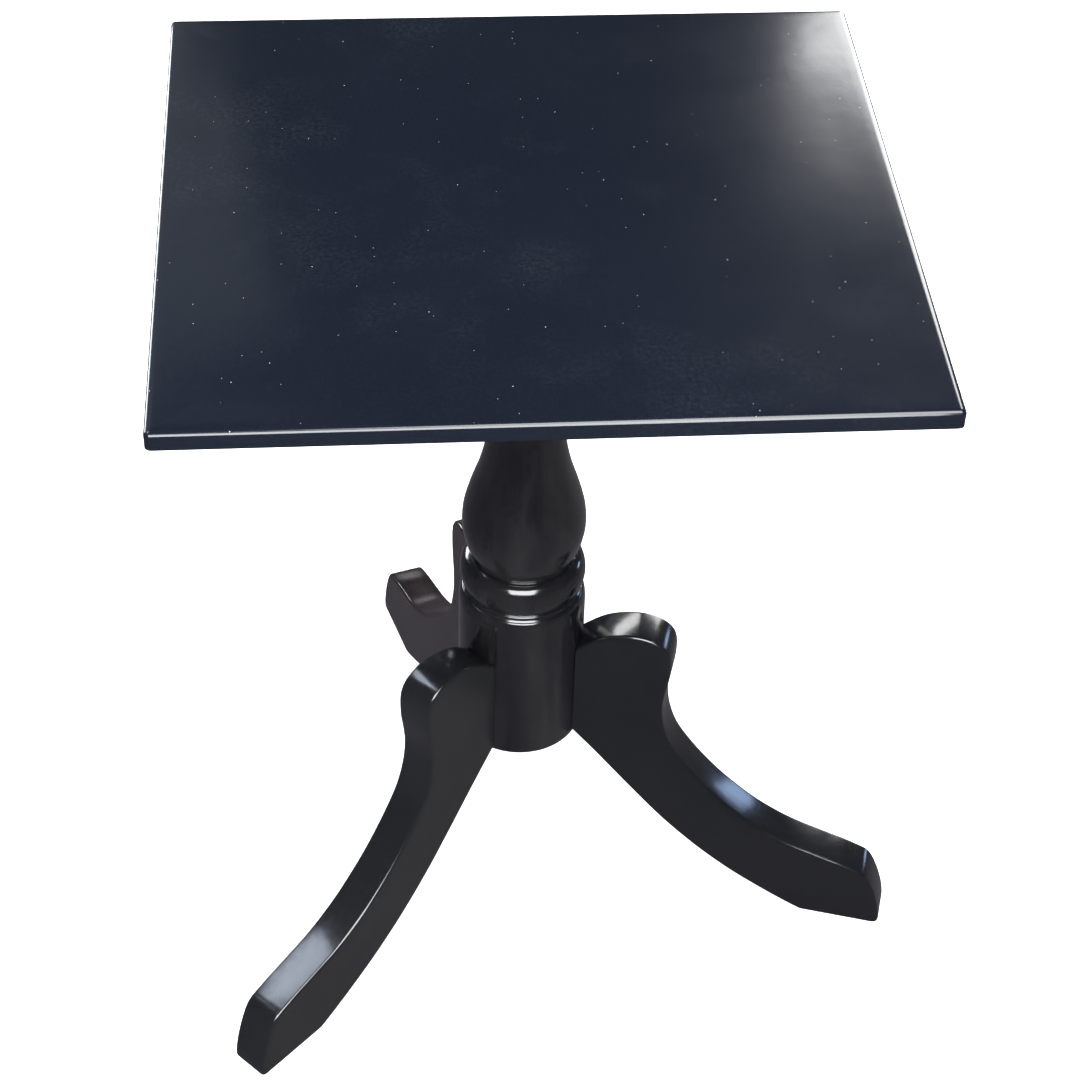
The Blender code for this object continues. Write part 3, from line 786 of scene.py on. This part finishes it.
def block_between(low: Point, high: Point) -> Shape:
    """Square-edged shape between two corners, for cuts.

    Args:
        low: Lowest corner.
        high: Highest corner.

    Returns:
        Points and outward faces.
    """
    plan = np.array([[low[0], low[1]], [high[0], low[1]], [high[0], high[1]], [low[0], high[1]]])
    return prism(plan, low[2], high[2])


def turned(profile: Grid, segments: int) -> Shape:
    """Shape turned about Z: radius times cosine and sine of the turn, at the profile's height.

    Args:
        profile: Radius and height of each ring, bottom first.
        segments: Points round a ring.

    Returns:
        Points and outward faces.
    """
    turn = 2 * np.pi * np.arange(segments) / segments
    x = profile[:, :1] * np.cos(turn)
    y = profile[:, :1] * np.sin(turn)
    z = np.broadcast_to(profile[:, 1:], x.shape)
    points = np.stack([x, y, z], axis=-1).reshape(-1, 3)
    return points, capped_faces(len(profile), segments)


def rod(radius: float, low: float, high: float, segments: int) -> Shape:
    """Plain cylinder about Z, from one height to another."""
    return turned(np.array([[radius, low], [radius, high]]), segments)


def dovetail(ends: tuple[Pair, Pair], heights: Pair, degrees: float) -> Shape:
    """Upright dovetail that narrows away from the pillar's axis.

    Args:
        ends: Distance from the axis and half width, at its wide end and at its narrow end.
        heights: Lower and upper height.
        degrees: Its direction from the axis.

    Returns:
        Points and outward faces.
    """
    (near, wide), (far, slim) = ends
    plan = np.array([[near, -wide], [far, -slim], [far, slim], [near, wide]])
    points, faces = prism(plan, *heights)
    return turned_about_z(points, degrees), faces


def aimed(shape: Shape, seat: Grid, direction: Grid) -> Shape:
    """Turn a shape from +Z to a direction and move it to a seat.

    Args:
        shape: Points and faces.
        seat: Where its origin goes.
        direction: Where its Z axis points.

    Returns:
        Points and faces.
    """
    turn = Vector((0, 0, 1)).rotation_difference(Vector(direction.tolist())).to_matrix()
    return shape[0] @ np.array(turn).T + seat, shape[1]


# ---- The table ----

BLACK = (0.0034, 0.0049, 0.0089)
LEG_ANGLES = {"right": -16.5, "left": -135.5, "back": 106.5}
SIDES = (("left", -1), ("right", 1))
UP, DOWN = np.array([0, 0, 1]), np.array([0, 0, -1])

# Y and Z of the top's pivot, the radius of the bores for its pins, and the top's lower face.
PIVOT = (-0.030, 0.5591)
PIN_BORE = 0.0046
UNDERSIDE = 0.572


@dataclass(frozen=True)
class TableTop:
    """Flat board with a rounded upper edge and a square fascia."""

    width: float = 0.440
    depth: float = 0.415
    thickness: float = 0.012
    surface: float = 0.584
    corner: float = 0.0035
    rounding: float = 0.0030
    reach: float = 0.0046
    arris: float = 0.0008
    waviness: float = 0.00010
    corner_steps: int = 8
    side_parts: int = 40
    paint: BlackPaint = BlackPaint(
        "black_paint_top",
        BLACK,
        (0.0042, 0.0058, 0.0100),
        roughness=0.135,
        stroke=(16.0, 1.0, 1.0),
        stroke_height=0.000002,
        stipple_height=0.000003,
        sag_height=0.00003,
        grain=0.16,
        wear=0.006,
        smudge=0.3,
        dust=1.0,
    )

    def plan(self, inset: float) -> Grid:
        """Outline at an inset from the board's edge.

        Args:
            inset: Distance in from the edge.

        Returns:
            X and Y of each point.
        """
        size = (self.width - 2 * inset, self.depth - 2 * inset)
        return rounded_plan(*size, max(self.corner - inset, 0.0004), self.corner_steps)

    def build(self) -> None:
        """Rings up the edge by its section, then rings that shrink to the middle of the face."""
        a = np.radians(np.linspace(0, 90, 14))
        inset = np.r_[self.arris, 0.0, self.reach * (1 - np.cos(a))]
        rise = self.thickness - self.rounding * (1 - np.sin(a))
        rise = np.r_[0.0, self.arris, rise]
        point = np.arange(4 * (self.corner_steps + 1))
        last = point % (self.corner_steps + 1) == self.corner_steps
        parts = np.where(last, self.side_parts, 1)
        dense = np.repeat(point, parts)
        share = (np.arange(len(dense)) - (np.cumsum(parts) - parts)[dense]) / parts[dense]
        lines = np.stack([self.plan(i) for i in inset])
        following = np.roll(lines, -1, axis=1)
        lines = lines[:, dense] * (1 - share[:, None]) + following[:, dense] * share[:, None]
        shrink = np.linspace(1, 0, 42)[1:-1]
        face = lines[-1][None] * shrink[:, None, None]
        xy = np.vstack([lines, face])
        z = self.surface - self.thickness + np.r_[rise, np.full(len(shrink), rise[-1])]
        z = np.broadcast_to(z[:, None], xy.shape[:2]).copy()
        x, y = xy[len(inset) :, :, 0], xy[len(inset) :, :, 1]
        wave = 1 - np.cos(2 * np.pi * x / 0.21 + 1.3) * np.cos(2 * np.pi * y / 0.17 + 0.4)
        z[len(inset) :] -= self.waviness * wave * np.minimum(1, (1 - shrink[:, None]) / 0.1)
        points = np.dstack([xy, z]).reshape(-1, 3)
        faces = capped_faces(len(xy), len(dense))
        piece = add_piece("table_top_board", points, faces, 30)
        dressed(piece, self.paint, "top_board", Body.TOP)


@dataclass(frozen=True)
class Pillar:
    """Turned pillar: cylinder, shoulder, ring, vase, bead, collar and tenon."""

    foot: float = 0.1451
    radius: float = 0.0431
    collar: float = 0.0322
    seat: float = 0.5453
    tenon: float = 0.0125
    tenon_top: float = 0.5708
    kerf: float = 0.0024
    housing: tuple[Pair, Pair] = ((0.0276, 0.0083), (0.0461, 0.0057))
    housing_top: float = 0.2261
    segments: int = 160
    vase: tuple[Pair, ...] = (
        (0.0333, 0.2996), (0.0359, 0.3041), (0.0390, 0.3134), (0.0409, 0.3237), (0.0411, 0.3320),
        (0.0401, 0.3413), (0.0378, 0.3511), (0.0347, 0.3619), (0.0314, 0.3722), (0.0290, 0.3815),
        (0.0271, 0.3907), (0.0243, 0.4083), (0.0218, 0.4330), (0.0203, 0.4620), (0.0198, 0.4870),
    )
    neck: tuple[Pair, ...] = (
        (0.0222, 0.5060), (0.0226, 0.5160), (0.0252, 0.5270), (0.0300, 0.5350),
    )
    paint: BlackPaint = BlackPaint(
        "black_paint_pillar",
        (0.0009, 0.0012, 0.0022),
        (0.0064, 0.0059, 0.0064),
        roughness=0.15,
        stroke=(1.0, 1.0, 5.0),
        stroke_height=0.00003,
        stipple_height=0.000006,
        sag_height=0.0005,
        coat=0.4,
        streak=0.6,
    )

    def profile(self) -> Grid:
        """Radius and height up the pillar, its corners softened by the paint.

        Returns:
            Points, bottom first.
        """
        line = np.vstack(
            [
                [[self.radius - 0.0026, self.foot], [self.radius, self.foot + 0.0012]],
                [[self.radius, 0.2578]],
                arc((0.0398, 0.2578), (0.0033, 0.0122), 15, 90, 10),
                [[0.0386, 0.2714], [0.0388, 0.2728]],
                arc((0.0340, 0.2858), (0.0083, 0.0132), -66, 66, 20),
                [[0.0351, 0.2993]],
                flowing_curve(np.array(self.vase), 6),
                [[0.0234, 0.4915]],
                arc((0.0215, 0.4985), (0.0050, 0.0062), -60, 60, 12),
                flowing_curve(np.array(self.neck), 5),
                [[self.collar, 0.5380], [self.collar, self.seat], [self.tenon, self.seat]],
                [[self.tenon, self.tenon_top - 0.001], [self.tenon - 0.001, self.tenon_top]],
            ]
        )
        return eased(line, 0.0006, False)

    def build(self) -> None:
        """Turn the profile, then cut the leg housings and the tenon's kerf."""
        piece = add_piece("turned_pillar", *turned(self.profile(), self.segments), 32)
        heights = (self.foot - 0.005, self.housing_top)
        for degrees in LEG_ANGLES.values():
            combine(piece, dovetail(self.housing, heights, degrees), Join.CUT)
        low = (-0.020, -self.kerf / 2, self.tenon_top - 0.020)
        high = (0.020, self.kerf / 2, self.tenon_top + 0.004)
        combine(piece, block_between(low, high), Join.CUT)
        dressed(piece, self.paint, "pillar", Body.BASE)


@dataclass(frozen=True)
class Leg:
    """Sawn cabriole-like leg with eased edges, a coped shoulder and a dovetail tongue."""

    side: str
    paint: BlackPaint
    thick: float = 0.0272
    rounding: float = 0.0024
    cope: float = 0.0434
    tongue: tuple[Pair, Pair] = ((0.0279, 0.0080), (0.0449, 0.0054))
    tongue_heights: Pair = (0.1490, 0.2258)
    upper: tuple[Pair, ...] = (
        (0.0300, 0.2149), (0.0398, 0.2263), (0.0434, 0.2305), (0.0558, 0.2406), (0.0682, 0.2462),
        (0.0826, 0.2487), (0.0950, 0.2464), (0.1033, 0.2404), (0.1070, 0.2309), (0.1070, 0.2144),
        (0.1047, 0.1980), (0.1036, 0.1835), (0.1059, 0.1660), (0.1121, 0.1485), (0.1229, 0.1322),
        (0.1379, 0.1144), (0.1549, 0.0982), (0.1756, 0.0825), (0.1994, 0.0701), (0.2252, 0.0618),
        (0.2400, 0.0574), (0.2520, 0.0531),
    )
    toe: tuple[Pair, ...] = (
        (0.2520, 0.0531), (0.2577, 0.0503), (0.2620, 0.0454), (0.2667, 0.0355), (0.2710, 0.0230),
        (0.2737, 0.0105), (0.2740, 0.0040), (0.2727, 0.0011), (0.2698, 0.0000),
    )
    under: tuple[Pair, ...] = (
        (0.2169, 0.0000), (0.2066, 0.0047), (0.1852, 0.0158), (0.1600, 0.0308), (0.1339, 0.0502),
        (0.1086, 0.0732), (0.0847, 0.0992), (0.0589, 0.1285), (0.0434, 0.1453), (0.0398, 0.1493),
        (0.0300, 0.1602),
    )

    def outline(self) -> Grid:
        """Closed outline, distance from the pillar's axis and height, anticlockwise.

        Returns:
            Points.
        """
        upper = flowing_curve(np.array(self.upper), 6)
        toe = flowing_curve(np.array(self.toe), 6)[1:]
        under = flowing_curve(np.array(self.under), 6)
        return spread(np.vstack([upper, toe, under])[::-1], 0.005)

    def build(self) -> None:
        """Board on the outline, its inner end kept outside the pillar's radius, plus the tongue."""
        section = edge_section(self.thick / 2, self.rounding, 6)
        points, faces = board(self.outline(), section)
        points[:, 0] = np.maximum(points[:, 0], np.sqrt(self.cope**2 - points[:, 1] ** 2))
        degrees = LEG_ANGLES[self.side]
        piece = add_piece("sawn_leg_" + self.side, turned_about_z(points, degrees), faces, 32)
        combine(piece, dovetail(self.tongue, self.tongue_heights, degrees), Join.ADD)
        dressed(piece, self.paint, "leg_" + self.side, Body.BASE)


@dataclass(frozen=True)
class Block:
    """Pillar block: bored for the tenon and pins, rounded at the pivot, let in for the strike."""

    width: float = 0.084
    top: float = 0.5716
    bottom: float = 0.5456
    back: float = 0.0455
    front: float = -0.0425
    nose: float = 0.0125
    mortise: float = 0.0128
    pin_depth: float = 0.0238
    recesses: tuple[tuple[Point, Point], ...] = (
        ((-0.0208, 0.0327, 0.5677), (0.0208, 0.0495, 0.5756)),
        ((-0.0066, 0.0378, 0.5649), (0.0066, 0.0495, 0.5690)),
    )
    paint: BlackPaint = BlackPaint(
        "black_paint_block",
        (0.0070, 0.0070, 0.0085),
        (0.0120, 0.0105, 0.0105),
        roughness=0.36,
        stroke=(12.0, 1.0, 1.0),
        stroke_height=0.00008,
        smudge=0.4,
    )

    def build(self) -> None:
        """Board on the side outline, as wide as the block, then its cuts."""
        centre = (self.front + self.nose, self.top - self.nose)
        nose = arc(centre, (self.nose, self.nose), 90, 180, 16)
        corners = [[self.front, self.bottom], [self.back, self.bottom], [self.back, self.top]]
        outline = spread(eased(np.vstack([nose, corners]), 0.0012, True, 30), 0.006)
        section = edge_section(self.width / 2, 0.0010, 3)
        piece = add_piece("pillar_block_finished", *side_board(outline, section), 32)
        mortise = rod(self.mortise, self.bottom - 0.01, self.top + 0.01, 96)
        combine(piece, mortise, Join.CUT)
        for low, high in self.recesses:
            combine(piece, block_between(low, high), Join.CUT)
        bore = rod(PIN_BORE, -0.002, self.pin_depth, 48)
        for _, sign in SIDES:
            seat = np.array([sign * self.width / 2, *PIVOT])
            combine(piece, aimed(bore, seat, np.array([-sign, 0, 0])), Join.CUT)
        dressed(piece, self.paint, "pillar_block", Body.BASE)


@dataclass(frozen=True)
class Bearer:
    """Bearer under the top, with bevelled ends, a bore for the pin and sunk screws."""

    name: str
    sign: int
    inner: float = 0.0425
    thick: float = 0.020
    length: float = 0.300
    height: float = 0.0257
    top: float = 0.5717
    bevel: float = 0.020
    square: float = 0.008
    screw_places: tuple[float, ...] = (-0.120, 0.012, 0.120)
    sunk: float = 0.0040
    bite: float = 0.0078
    paint: BlackPaint = BlackPaint(
        "black_paint_bearer",
        (0.0070, 0.0070, 0.0085),
        (0.0125, 0.0110, 0.0108),
        roughness=0.38,
        stroke=(1.0, 12.0, 1.0),
        stroke_height=0.00008,
        smudge=0.4,
    )

    @property
    def middle(self) -> float:
        """X of its centre line."""
        return self.sign * (self.inner + self.thick / 2)

    def build(self) -> None:
        """Board on the side outline, moved to its place, then its bores and its screws."""
        half, low = self.length / 2, self.top - self.height
        outline = np.array(
            [[-half, self.top], [-half, self.top - self.square], [self.bevel - half, low]]
            + [[half - self.bevel, low], [half, self.top - self.square], [half, self.top]]
        )
        outline = spread(eased(outline, 0.0014, True), 0.012)
        shape = side_board(outline, edge_section(self.thick / 2, 0.0012, 3), self.middle)
        piece = add_piece("bearer_%s_finished" % self.name, *shape, 32)
        bore = rod(PIN_BORE, -0.003, self.thick + 0.003, 48)
        seat = np.array([self.sign * self.inner, *PIVOT])
        combine(piece, aimed(bore, seat, np.array([self.sign, 0, 0])), Join.CUT)
        sink = turned(np.array([[0.0052, -0.002], [0.0050, 0.0004], [0.0048, self.sunk]]), 32)
        for y in self.screw_places:
            combine(piece, aimed(sink, np.array([self.middle, y, low]), UP), Join.CUT)
        dressed(piece, self.paint, "bearer_" + self.name, Body.TOP)
        for number, y in enumerate(self.screw_places, 1):
            seat = np.array([self.middle, y, low + self.sunk])
            screw = Screw(0.0042, 0.0026, 0.0018, UNDERSIDE + self.bite - seat[2])
            screw.build("bearer_screw_%s_%d" % (self.name, number), seat, UP, Body.TOP)


STEEL = Metal("steel_screw", (0.46, 0.45, 0.43), (0.16, 0.12, 0.09), 0.30)


@dataclass(frozen=True)
class Screw:
    """Slotted round-head wood screw."""

    head: float
    rise: float
    shank: float
    length: float
    sunk: float = 0.0003

    def profile(self) -> Grid:
        """Radius and height from the domed head, below the seat, up to the point."""
        a = np.radians(np.linspace(0, 82, 9))
        drop = -self.rise * (0.35 + 0.65 * np.sin(a))
        dome = np.stack([self.head * np.cos(a), drop], axis=-1)[::-1]
        rest = [[self.head, 0.0], [self.shank, 0.0], [self.shank, self.length - 0.003]]
        line = np.vstack([dome, rest, [[self.shank * 0.3, self.length - self.sunk]]])
        return line - [0, self.sunk]

    def build(self, node: str, seat: Grid, direction: Grid, body: Body) -> None:
        """Turn the profile, cut the slot and set it on its seat.

        Args:
            node: CAD node that it stands for.
            seat: Where its head bears.
            direction: Where its point goes.
            body: Body that it rides on.
        """
        piece = add_piece(node + "_slotted", *aimed(turned(self.profile(), 32), seat, direction))
        reach, top = self.head * 1.3, -self.rise * 1.4
        slot = block_between((-reach, -0.0004, top), (reach, 0.0004, -self.rise * 0.5))
        combine(piece, aimed(slot, seat, direction), Join.CUT)
        dressed(piece, STEEL, node, body)


@dataclass(frozen=True)
class PivotPins:
    """Steel pins, fast in the block and free in the bearers."""

    radius: float = 0.0045
    ease: float = 0.0008
    inner: float = 0.019
    outer: float = 0.0615
    steel: Metal = Metal("steel_pin", (0.40, 0.40, 0.41), (0.13, 0.10, 0.08), 0.28)

    def build(self) -> None:
        """Turn each pin with eased ends and lay it along its bore."""
        length = self.outer - self.inner
        r, ease = self.radius, self.ease
        line = np.array([[ease, 0.0], [r, 0.0], [r, length], [ease, length]])
        profile = eased(line, ease, False)
        for name, sign in SIDES:
            seat = np.array([sign * self.inner, *PIVOT])
            shape = aimed(turned(profile, 48), seat, np.array([sign, 0, 0]))
            piece = add_piece("pivot_pin_%s_finished" % name, *shape)
            dressed(piece, self.steel, "pivot_pin_" + name, Body.BASE)


@dataclass(frozen=True)
class Brace:
    """Three-armed iron plate under the pillar, with its six screws."""

    top: float = 0.1448
    thick: float = 0.0020
    fold: float = 0.0426
    slope: float = 47.6
    hub_screws: float = 0.0180
    leg_screws: float = 0.0175
    screw: Screw = Screw(0.0038, 0.0020, 0.0016, 0.018)
    iron: Metal = Metal(
        "black_steel_brace", (0.020, 0.020, 0.021), (0.050, 0.038, 0.030), 0.46, metallic=0.6
    )

    def build(self) -> None:
        """Ease the plate's edges and set the screws."""
        plate = from_node("leg_brace", "leg_brace_plate", 0.0004)
        dressed(plate, self.iron, "leg_brace", Body.BASE)
        angles = sorted(LEG_ANGLES.values())
        middles = [(a + b) / 2 for a, b in zip(angles, [*angles[1:], angles[0] + 360])]
        under = self.top - self.thick
        for number, degrees in enumerate(middles, 1):
            seat = turned_about_z(np.array([self.hub_screws, 0, under]), degrees)
            self.screw.build("brace_hub_screw_%d" % number, seat, UP, Body.BASE)
        a = math.radians(self.slope)
        inward = np.array([math.sin(a), 0, math.cos(a)])
        along = np.array([math.cos(a), 0, -math.sin(a)])
        point = np.array([self.fold, 0, self.top]) + along * self.leg_screws - inward * self.thick
        for side, degrees in LEG_ANGLES.items():
            seat, aim = turned_about_z(point, degrees), turned_about_z(inward, degrees)
            self.screw.build("brace_leg_screw_" + side, seat, aim, Body.BASE)


@dataclass(frozen=True)
class SpringCatch:
    """Brass catch under the top: case, sliding bolt, knob and spring, with its strike."""

    knob_y: float = 0.0655
    bolt_low: float = 0.0071
    case_thick: float = 0.0013
    strike_drop: float = 0.0030
    arris: float = 0.00025
    case: Metal = Metal("brass_catch", (0.60, 0.41, 0.16), (0.20, 0.12, 0.05), 0.32)
    strike: Metal = Metal(
        "brass_strike", (0.58, 0.40, 0.16), (0.20, 0.12, 0.05), 0.34, scratch=(0.1, 1.0, 1.0)
    )
    bolt: Metal = Metal("brass_bolt", (0.66, 0.46, 0.19), (0.26, 0.16, 0.06), 0.24)
    wire: Metal = Metal("spring_wire", (0.44, 0.44, 0.45), (0.18, 0.15, 0.12), 0.26)
    case_screw: Screw = Screw(0.0029, 0.0016, 0.0012, 0.0080)
    strike_screw: Screw = Screw(0.0029, 0.0011, 0.0012, 0.0110)

    def build(self) -> None:
        """Ease the plates' edges, turn the knob and set the screws."""
        plates = (
            ("catch_case", self.case, Body.TOP),
            ("strike_plate", self.strike, Body.BASE),
            ("catch_bolt", self.bolt, Body.CATCH),
        )
        for node, brass, body in plates:
            dressed(from_node(node, node + "_eased", self.arris), brass, node, body)
        dressed(self.knob(), self.bolt, "catch_knob", Body.CATCH)
        self.spring()
        places = [(sx * 0.0175, y) for sx in (-1, 1) for y in (0.0575, 0.0910)]
        for number, (x, y) in enumerate(places, 1):
            seat = np.array([x, y, UNDERSIDE - self.case_thick])
            self.case_screw.build("catch_screw_%d" % number, seat, UP, Body.TOP)
        for name, sign in SIDES:
            seat = np.array([sign * 0.0150, 0.0385, UNDERSIDE - self.strike_drop])
            self.strike_screw.build("strike_screw_" + name, seat, DOWN, Body.BASE)

    def spring(self) -> None:
        """Spring between the case's end and the bolt, which closes as the bolt draws back.

        Here it is the CAD spring's mesh, fixed where it stands and put on no body.
        """
        piece = from_node("catch_spring", "catch_spring_wound", 0.0, 60.0)
        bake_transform(piece)
        dressed(piece, self.wire, "catch_spring", None)

    def knob(self) -> Piece:
        """Turn the knob: a flared grip on a neck, with a threaded end in the bolt.

        Returns:
            The knob.
        """
        line = flowing_curve(
            np.array(
                [[0.0020, -0.0165], [0.0046, -0.0158], [0.0058, -0.0140], [0.0058, -0.0125]]
                + [[0.0044, -0.0108], [0.0026, -0.0094], [0.0022, -0.0080]]
            ),
            5,
        )
        line = np.vstack([line, [[0.0022, -0.0003], [0.0013, -0.0003], [0.0013, 0.0024]]])
        points, faces = turned(line, 48)
        points = points + [0, self.knob_y, UNDERSIDE - self.bolt_low]
        return add_piece("catch_knob_turned", points, faces, 40)


# ---- The studio ----


WHITE, DAYLIGHT, CLOUD_LIGHT = (1.0, 1.0, 1.0), (0.95, 0.98, 1.0), (0.90, 0.95, 1.0)
HAZE, CLEAR_SKY, BLUE_SKY = (0.85, 0.92, 1.0), (0.74, 0.84, 1.0), (0.45, 0.64, 1.0)


@dataclass(frozen=True)
class SoftLight:
    """Square or oblong soft light, unseen itself."""

    name: str
    place: Point
    target: Point
    size: Pair
    power: float
    colour: Colour

    def build(self) -> None:
        """Hang the light and aim it."""
        lamp = bpy.data.lights.new(self.name, "AREA")
        lamp.shape = "RECTANGLE"
        lamp.size, lamp.size_y = self.size
        lamp.energy = self.power
        lamp.color = self.colour
        light = bpy.data.objects.new(self.name, lamp)
        light.location = self.place
        aim = Vector(self.target) - Vector(self.place)
        light.rotation_euler = aim.to_track_quat("-Z", "Y").to_euler()
        light.visible_camera = False
        bpy.context.scene.collection.objects.link(light)


@dataclass(frozen=True)
class Studio:
    """Pale floor, soft lights, even surroundings and the camera."""

    floor_half: float = 9.0
    floor_drop: float = 0.0002
    floor_colour: Colour = (0.80, 0.80, 0.80)
    floor_glow: float = 1.0
    above: Colour = (0.062, 0.068, 0.078)
    below_left: Colour = (0.100, 0.100, 0.118)
    below_right: Colour = (0.170, 0.165, 0.176)
    side_fade: float = 0.80
    rise_fade: float = 0.15
    camera_place: Point = (-0.1048, -1.2188, 1.4376)
    down: float = 42.695
    yaw: float = 5.431
    roll: float = 1.959
    lens: float = 83.333
    lights: tuple[SoftLight, ...] = (
        SoftLight("overhead", (0.62, -0.72, 2.90), (0.1, -0.1, 0.4), (1.5, 1.1), 62.0, WHITE),
        SoftLight("front", (-0.12, -1.62, 1.80), (0, 0, 0.28), (1.6, 1.4), 112.0, DAYLIGHT),
        SoftLight("back_right", (1.385, 2.43, 1.41), (0.2, 0.17, 0.584), (1.35, 1.5), 66.0, WHITE),
        SoftLight("back_left", (-1.25, 2.3, 1.8), (0, 0, 0.5), (1.9, 1.7), 4.0, HAZE),
        SoftLight("low_fill", (0.04, 0.135, 0.37), (0.069, -0.02, 0.247), (0.1, 0.045),
                  0.15, WHITE),
        SoftLight("low_back", (-0.30, 3.60, 0.36), (-0.07, 0.24, 0.06), (0.35, 0.4), 0.5, WHITE),
        SoftLight("window_left", (-1.4, 0.7, 3.0), (-0.15, -0.15, 0.06), (1.2, 1.0),
                  36.0, CLEAR_SKY),
        SoftLight("window_back", (-1.9, 2.2, 0.84), (-0.22, 0, 0.58), (0.9, 0.8),
                  28.0, CLOUD_LIGHT),
        SoftLight("window_right", (2.55, 1.22, 0.62), (0.15, -0.05, 0.12), (0.45, 0.5),
                  5.5, BLUE_SKY),
    )

    def build(self) -> None:
        """Make everything around the table."""
        self.floor()
        for light in self.lights:
            light.build()
        self.sky()
        self.camera()
        bpy.context.scene.view_settings.view_transform = "Standard"

    def floor(self) -> None:
        """Lay the floor as one grid of points."""
        line = np.linspace(-self.floor_half, self.floor_half, 9)
        x, y = np.meshgrid(line, line)
        points = np.stack([x, y, np.full_like(x, -self.floor_drop)], axis=-1).reshape(-1, 3)
        piece = add_piece("floor", points, grid_faces(9, 9, False, False).tolist())
        s = Sheet(bpy.data.materials.new("pale_floor"))
        paper = s.shader(Roughness=0.85, Specular_IOR_Level=0.2)
        paper.inputs["Emission Color"].default_value = (*WHITE, 1.0)
        paper.inputs["Emission Strength"].default_value = self.floor_glow
        tone = s.ramp(s.noise(s.place((1.0, 1.0, 1.0)), 1.2, 2.0), 0.2, 0.8)
        paler = tuple(c * 1.02 for c in self.floor_colour)
        s.join(s.blend(tone, self.floor_colour, paler), paper.inputs["Base Color"])
        piece.data.materials.append(s.owner)
        piece.visible_glossy = False

    def sky(self) -> None:
        """White where seen directly. As a light, dim above and, below, paler to the right."""
        world = bpy.data.worlds.new("surroundings")
        s = Sheet(world, "OutputWorld")
        way = s.add("SeparateXYZ")
        s.join(s.add("TexCoord").outputs["Generated"], way.inputs["Vector"])
        side = s.ramp(way.outputs["X"], -self.side_fade, self.side_fade)
        rise = s.ramp(way.outputs["Z"], -self.rise_fade, self.rise_fade)
        below = s.blend(side, self.below_left, self.below_right)
        glow, white, pick = (s.add(kind) for kind in ("Background", "Background", "MixShader"))
        s.join(s.blend(rise, below, self.above), glow.inputs["Color"])
        white.inputs["Color"].default_value = (*WHITE, 1.0)
        s.join(s.add("LightPath").outputs["Is Camera Ray"], pick.inputs["Fac"])
        for number, background in enumerate((glow, white), 1):
            s.join(background.outputs["Background"], pick.inputs[number])
        s.join(pick.outputs["Shader"], s.output.inputs["Surface"])
        bpy.context.scene.world = world

    def camera(self) -> None:
        """Stand the camera at its place, looking down, with its yaw and roll."""
        data = bpy.data.cameras.new("camera")
        data.sensor_width = 36.0
        data.lens = self.lens
        data.clip_end = 60.0
        pitch, yaw, roll = (math.radians(v) for v in (self.down, self.yaw, self.roll))
        level = math.cos(pitch)
        ahead = Vector((math.sin(yaw) * level, math.cos(yaw) * level, -math.sin(pitch)))
        right = Vector((math.cos(yaw), -math.sin(yaw), 0.0))
        up = right.cross(ahead)
        x = math.cos(roll) * right + math.sin(roll) * up
        y = math.cos(roll) * up - math.sin(roll) * right
        turn = Matrix((x, y, -ahead)).transposed().to_4x4()
        camera = bpy.data.objects.new("camera", data)
        camera.matrix_world = Matrix.Translation(self.camera_place) @ turn
        bpy.context.scene.collection.objects.link(camera)
        bpy.context.scene.camera = camera


def leg_paint(side: str, colour: Colour, rubbed: Colour) -> BlackPaint:
    """Paint of one leg, brushed down its length, in a lighter or darker copy for that leg.

    Args:
        side: Which leg.
        colour: The paint's colour, made darker or lighter for this leg: painted shade and light.
        rubbed: Its colour where it is thin, shifted in the same way.

    Returns:
        The paint.
    """
    return BlackPaint(
        "black_paint_leg_" + side,
        colour,
        rubbed,
        roughness=0.19,
        stroke=(12.0, 1.0, 1.0),
        tilt=50.0,
        turn=LEG_ANGLES[side],
        stroke_height=0.00002,
        stipple_height=0.000010,
        sag_height=0.00022,
        coat=0.25,
    )


# Painted light and shade: one black paint, copied darker, lighter or warmer for each leg.
LEG_LIT_AND_SHADED_COLOURS = {
    "right": ((0.0028, 0.0030, 0.0040), (0.0042, 0.0042, 0.0050)),
    "left": ((0.0043, 0.0045, 0.0054), (0.0066, 0.0066, 0.0071)),
    "back": ((0.0060, 0.0030, 0.0033), (0.0098, 0.0054, 0.0057)),
}


def main() -> None:
    """Build the table from the floor up, then its top and fittings."""
    Studio().build()
    Pillar().build()
    # Each leg gets its lit or shaded copy of the black paint: painted light and shade.
    for side, (colour, rubbed) in LEG_LIT_AND_SHADED_COLOURS.items():
        Leg(side, leg_paint(side, colour, rubbed)).build()
    Block().build()
    TableTop().build()
    for name, sign in SIDES:
        Bearer(name, sign).build()
    PivotPins().build()
    Brace().build()
    SpringCatch().build()
    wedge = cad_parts["tenon_wedge"]
    wedge.data.materials.clear()
    beech = BareWood("beech_wedge", (0.50, 0.35, 0.20), (0.33, 0.20, 0.10))
    wedge.data.materials.append(beech.material())


if __name__ == "__main__":
    main()
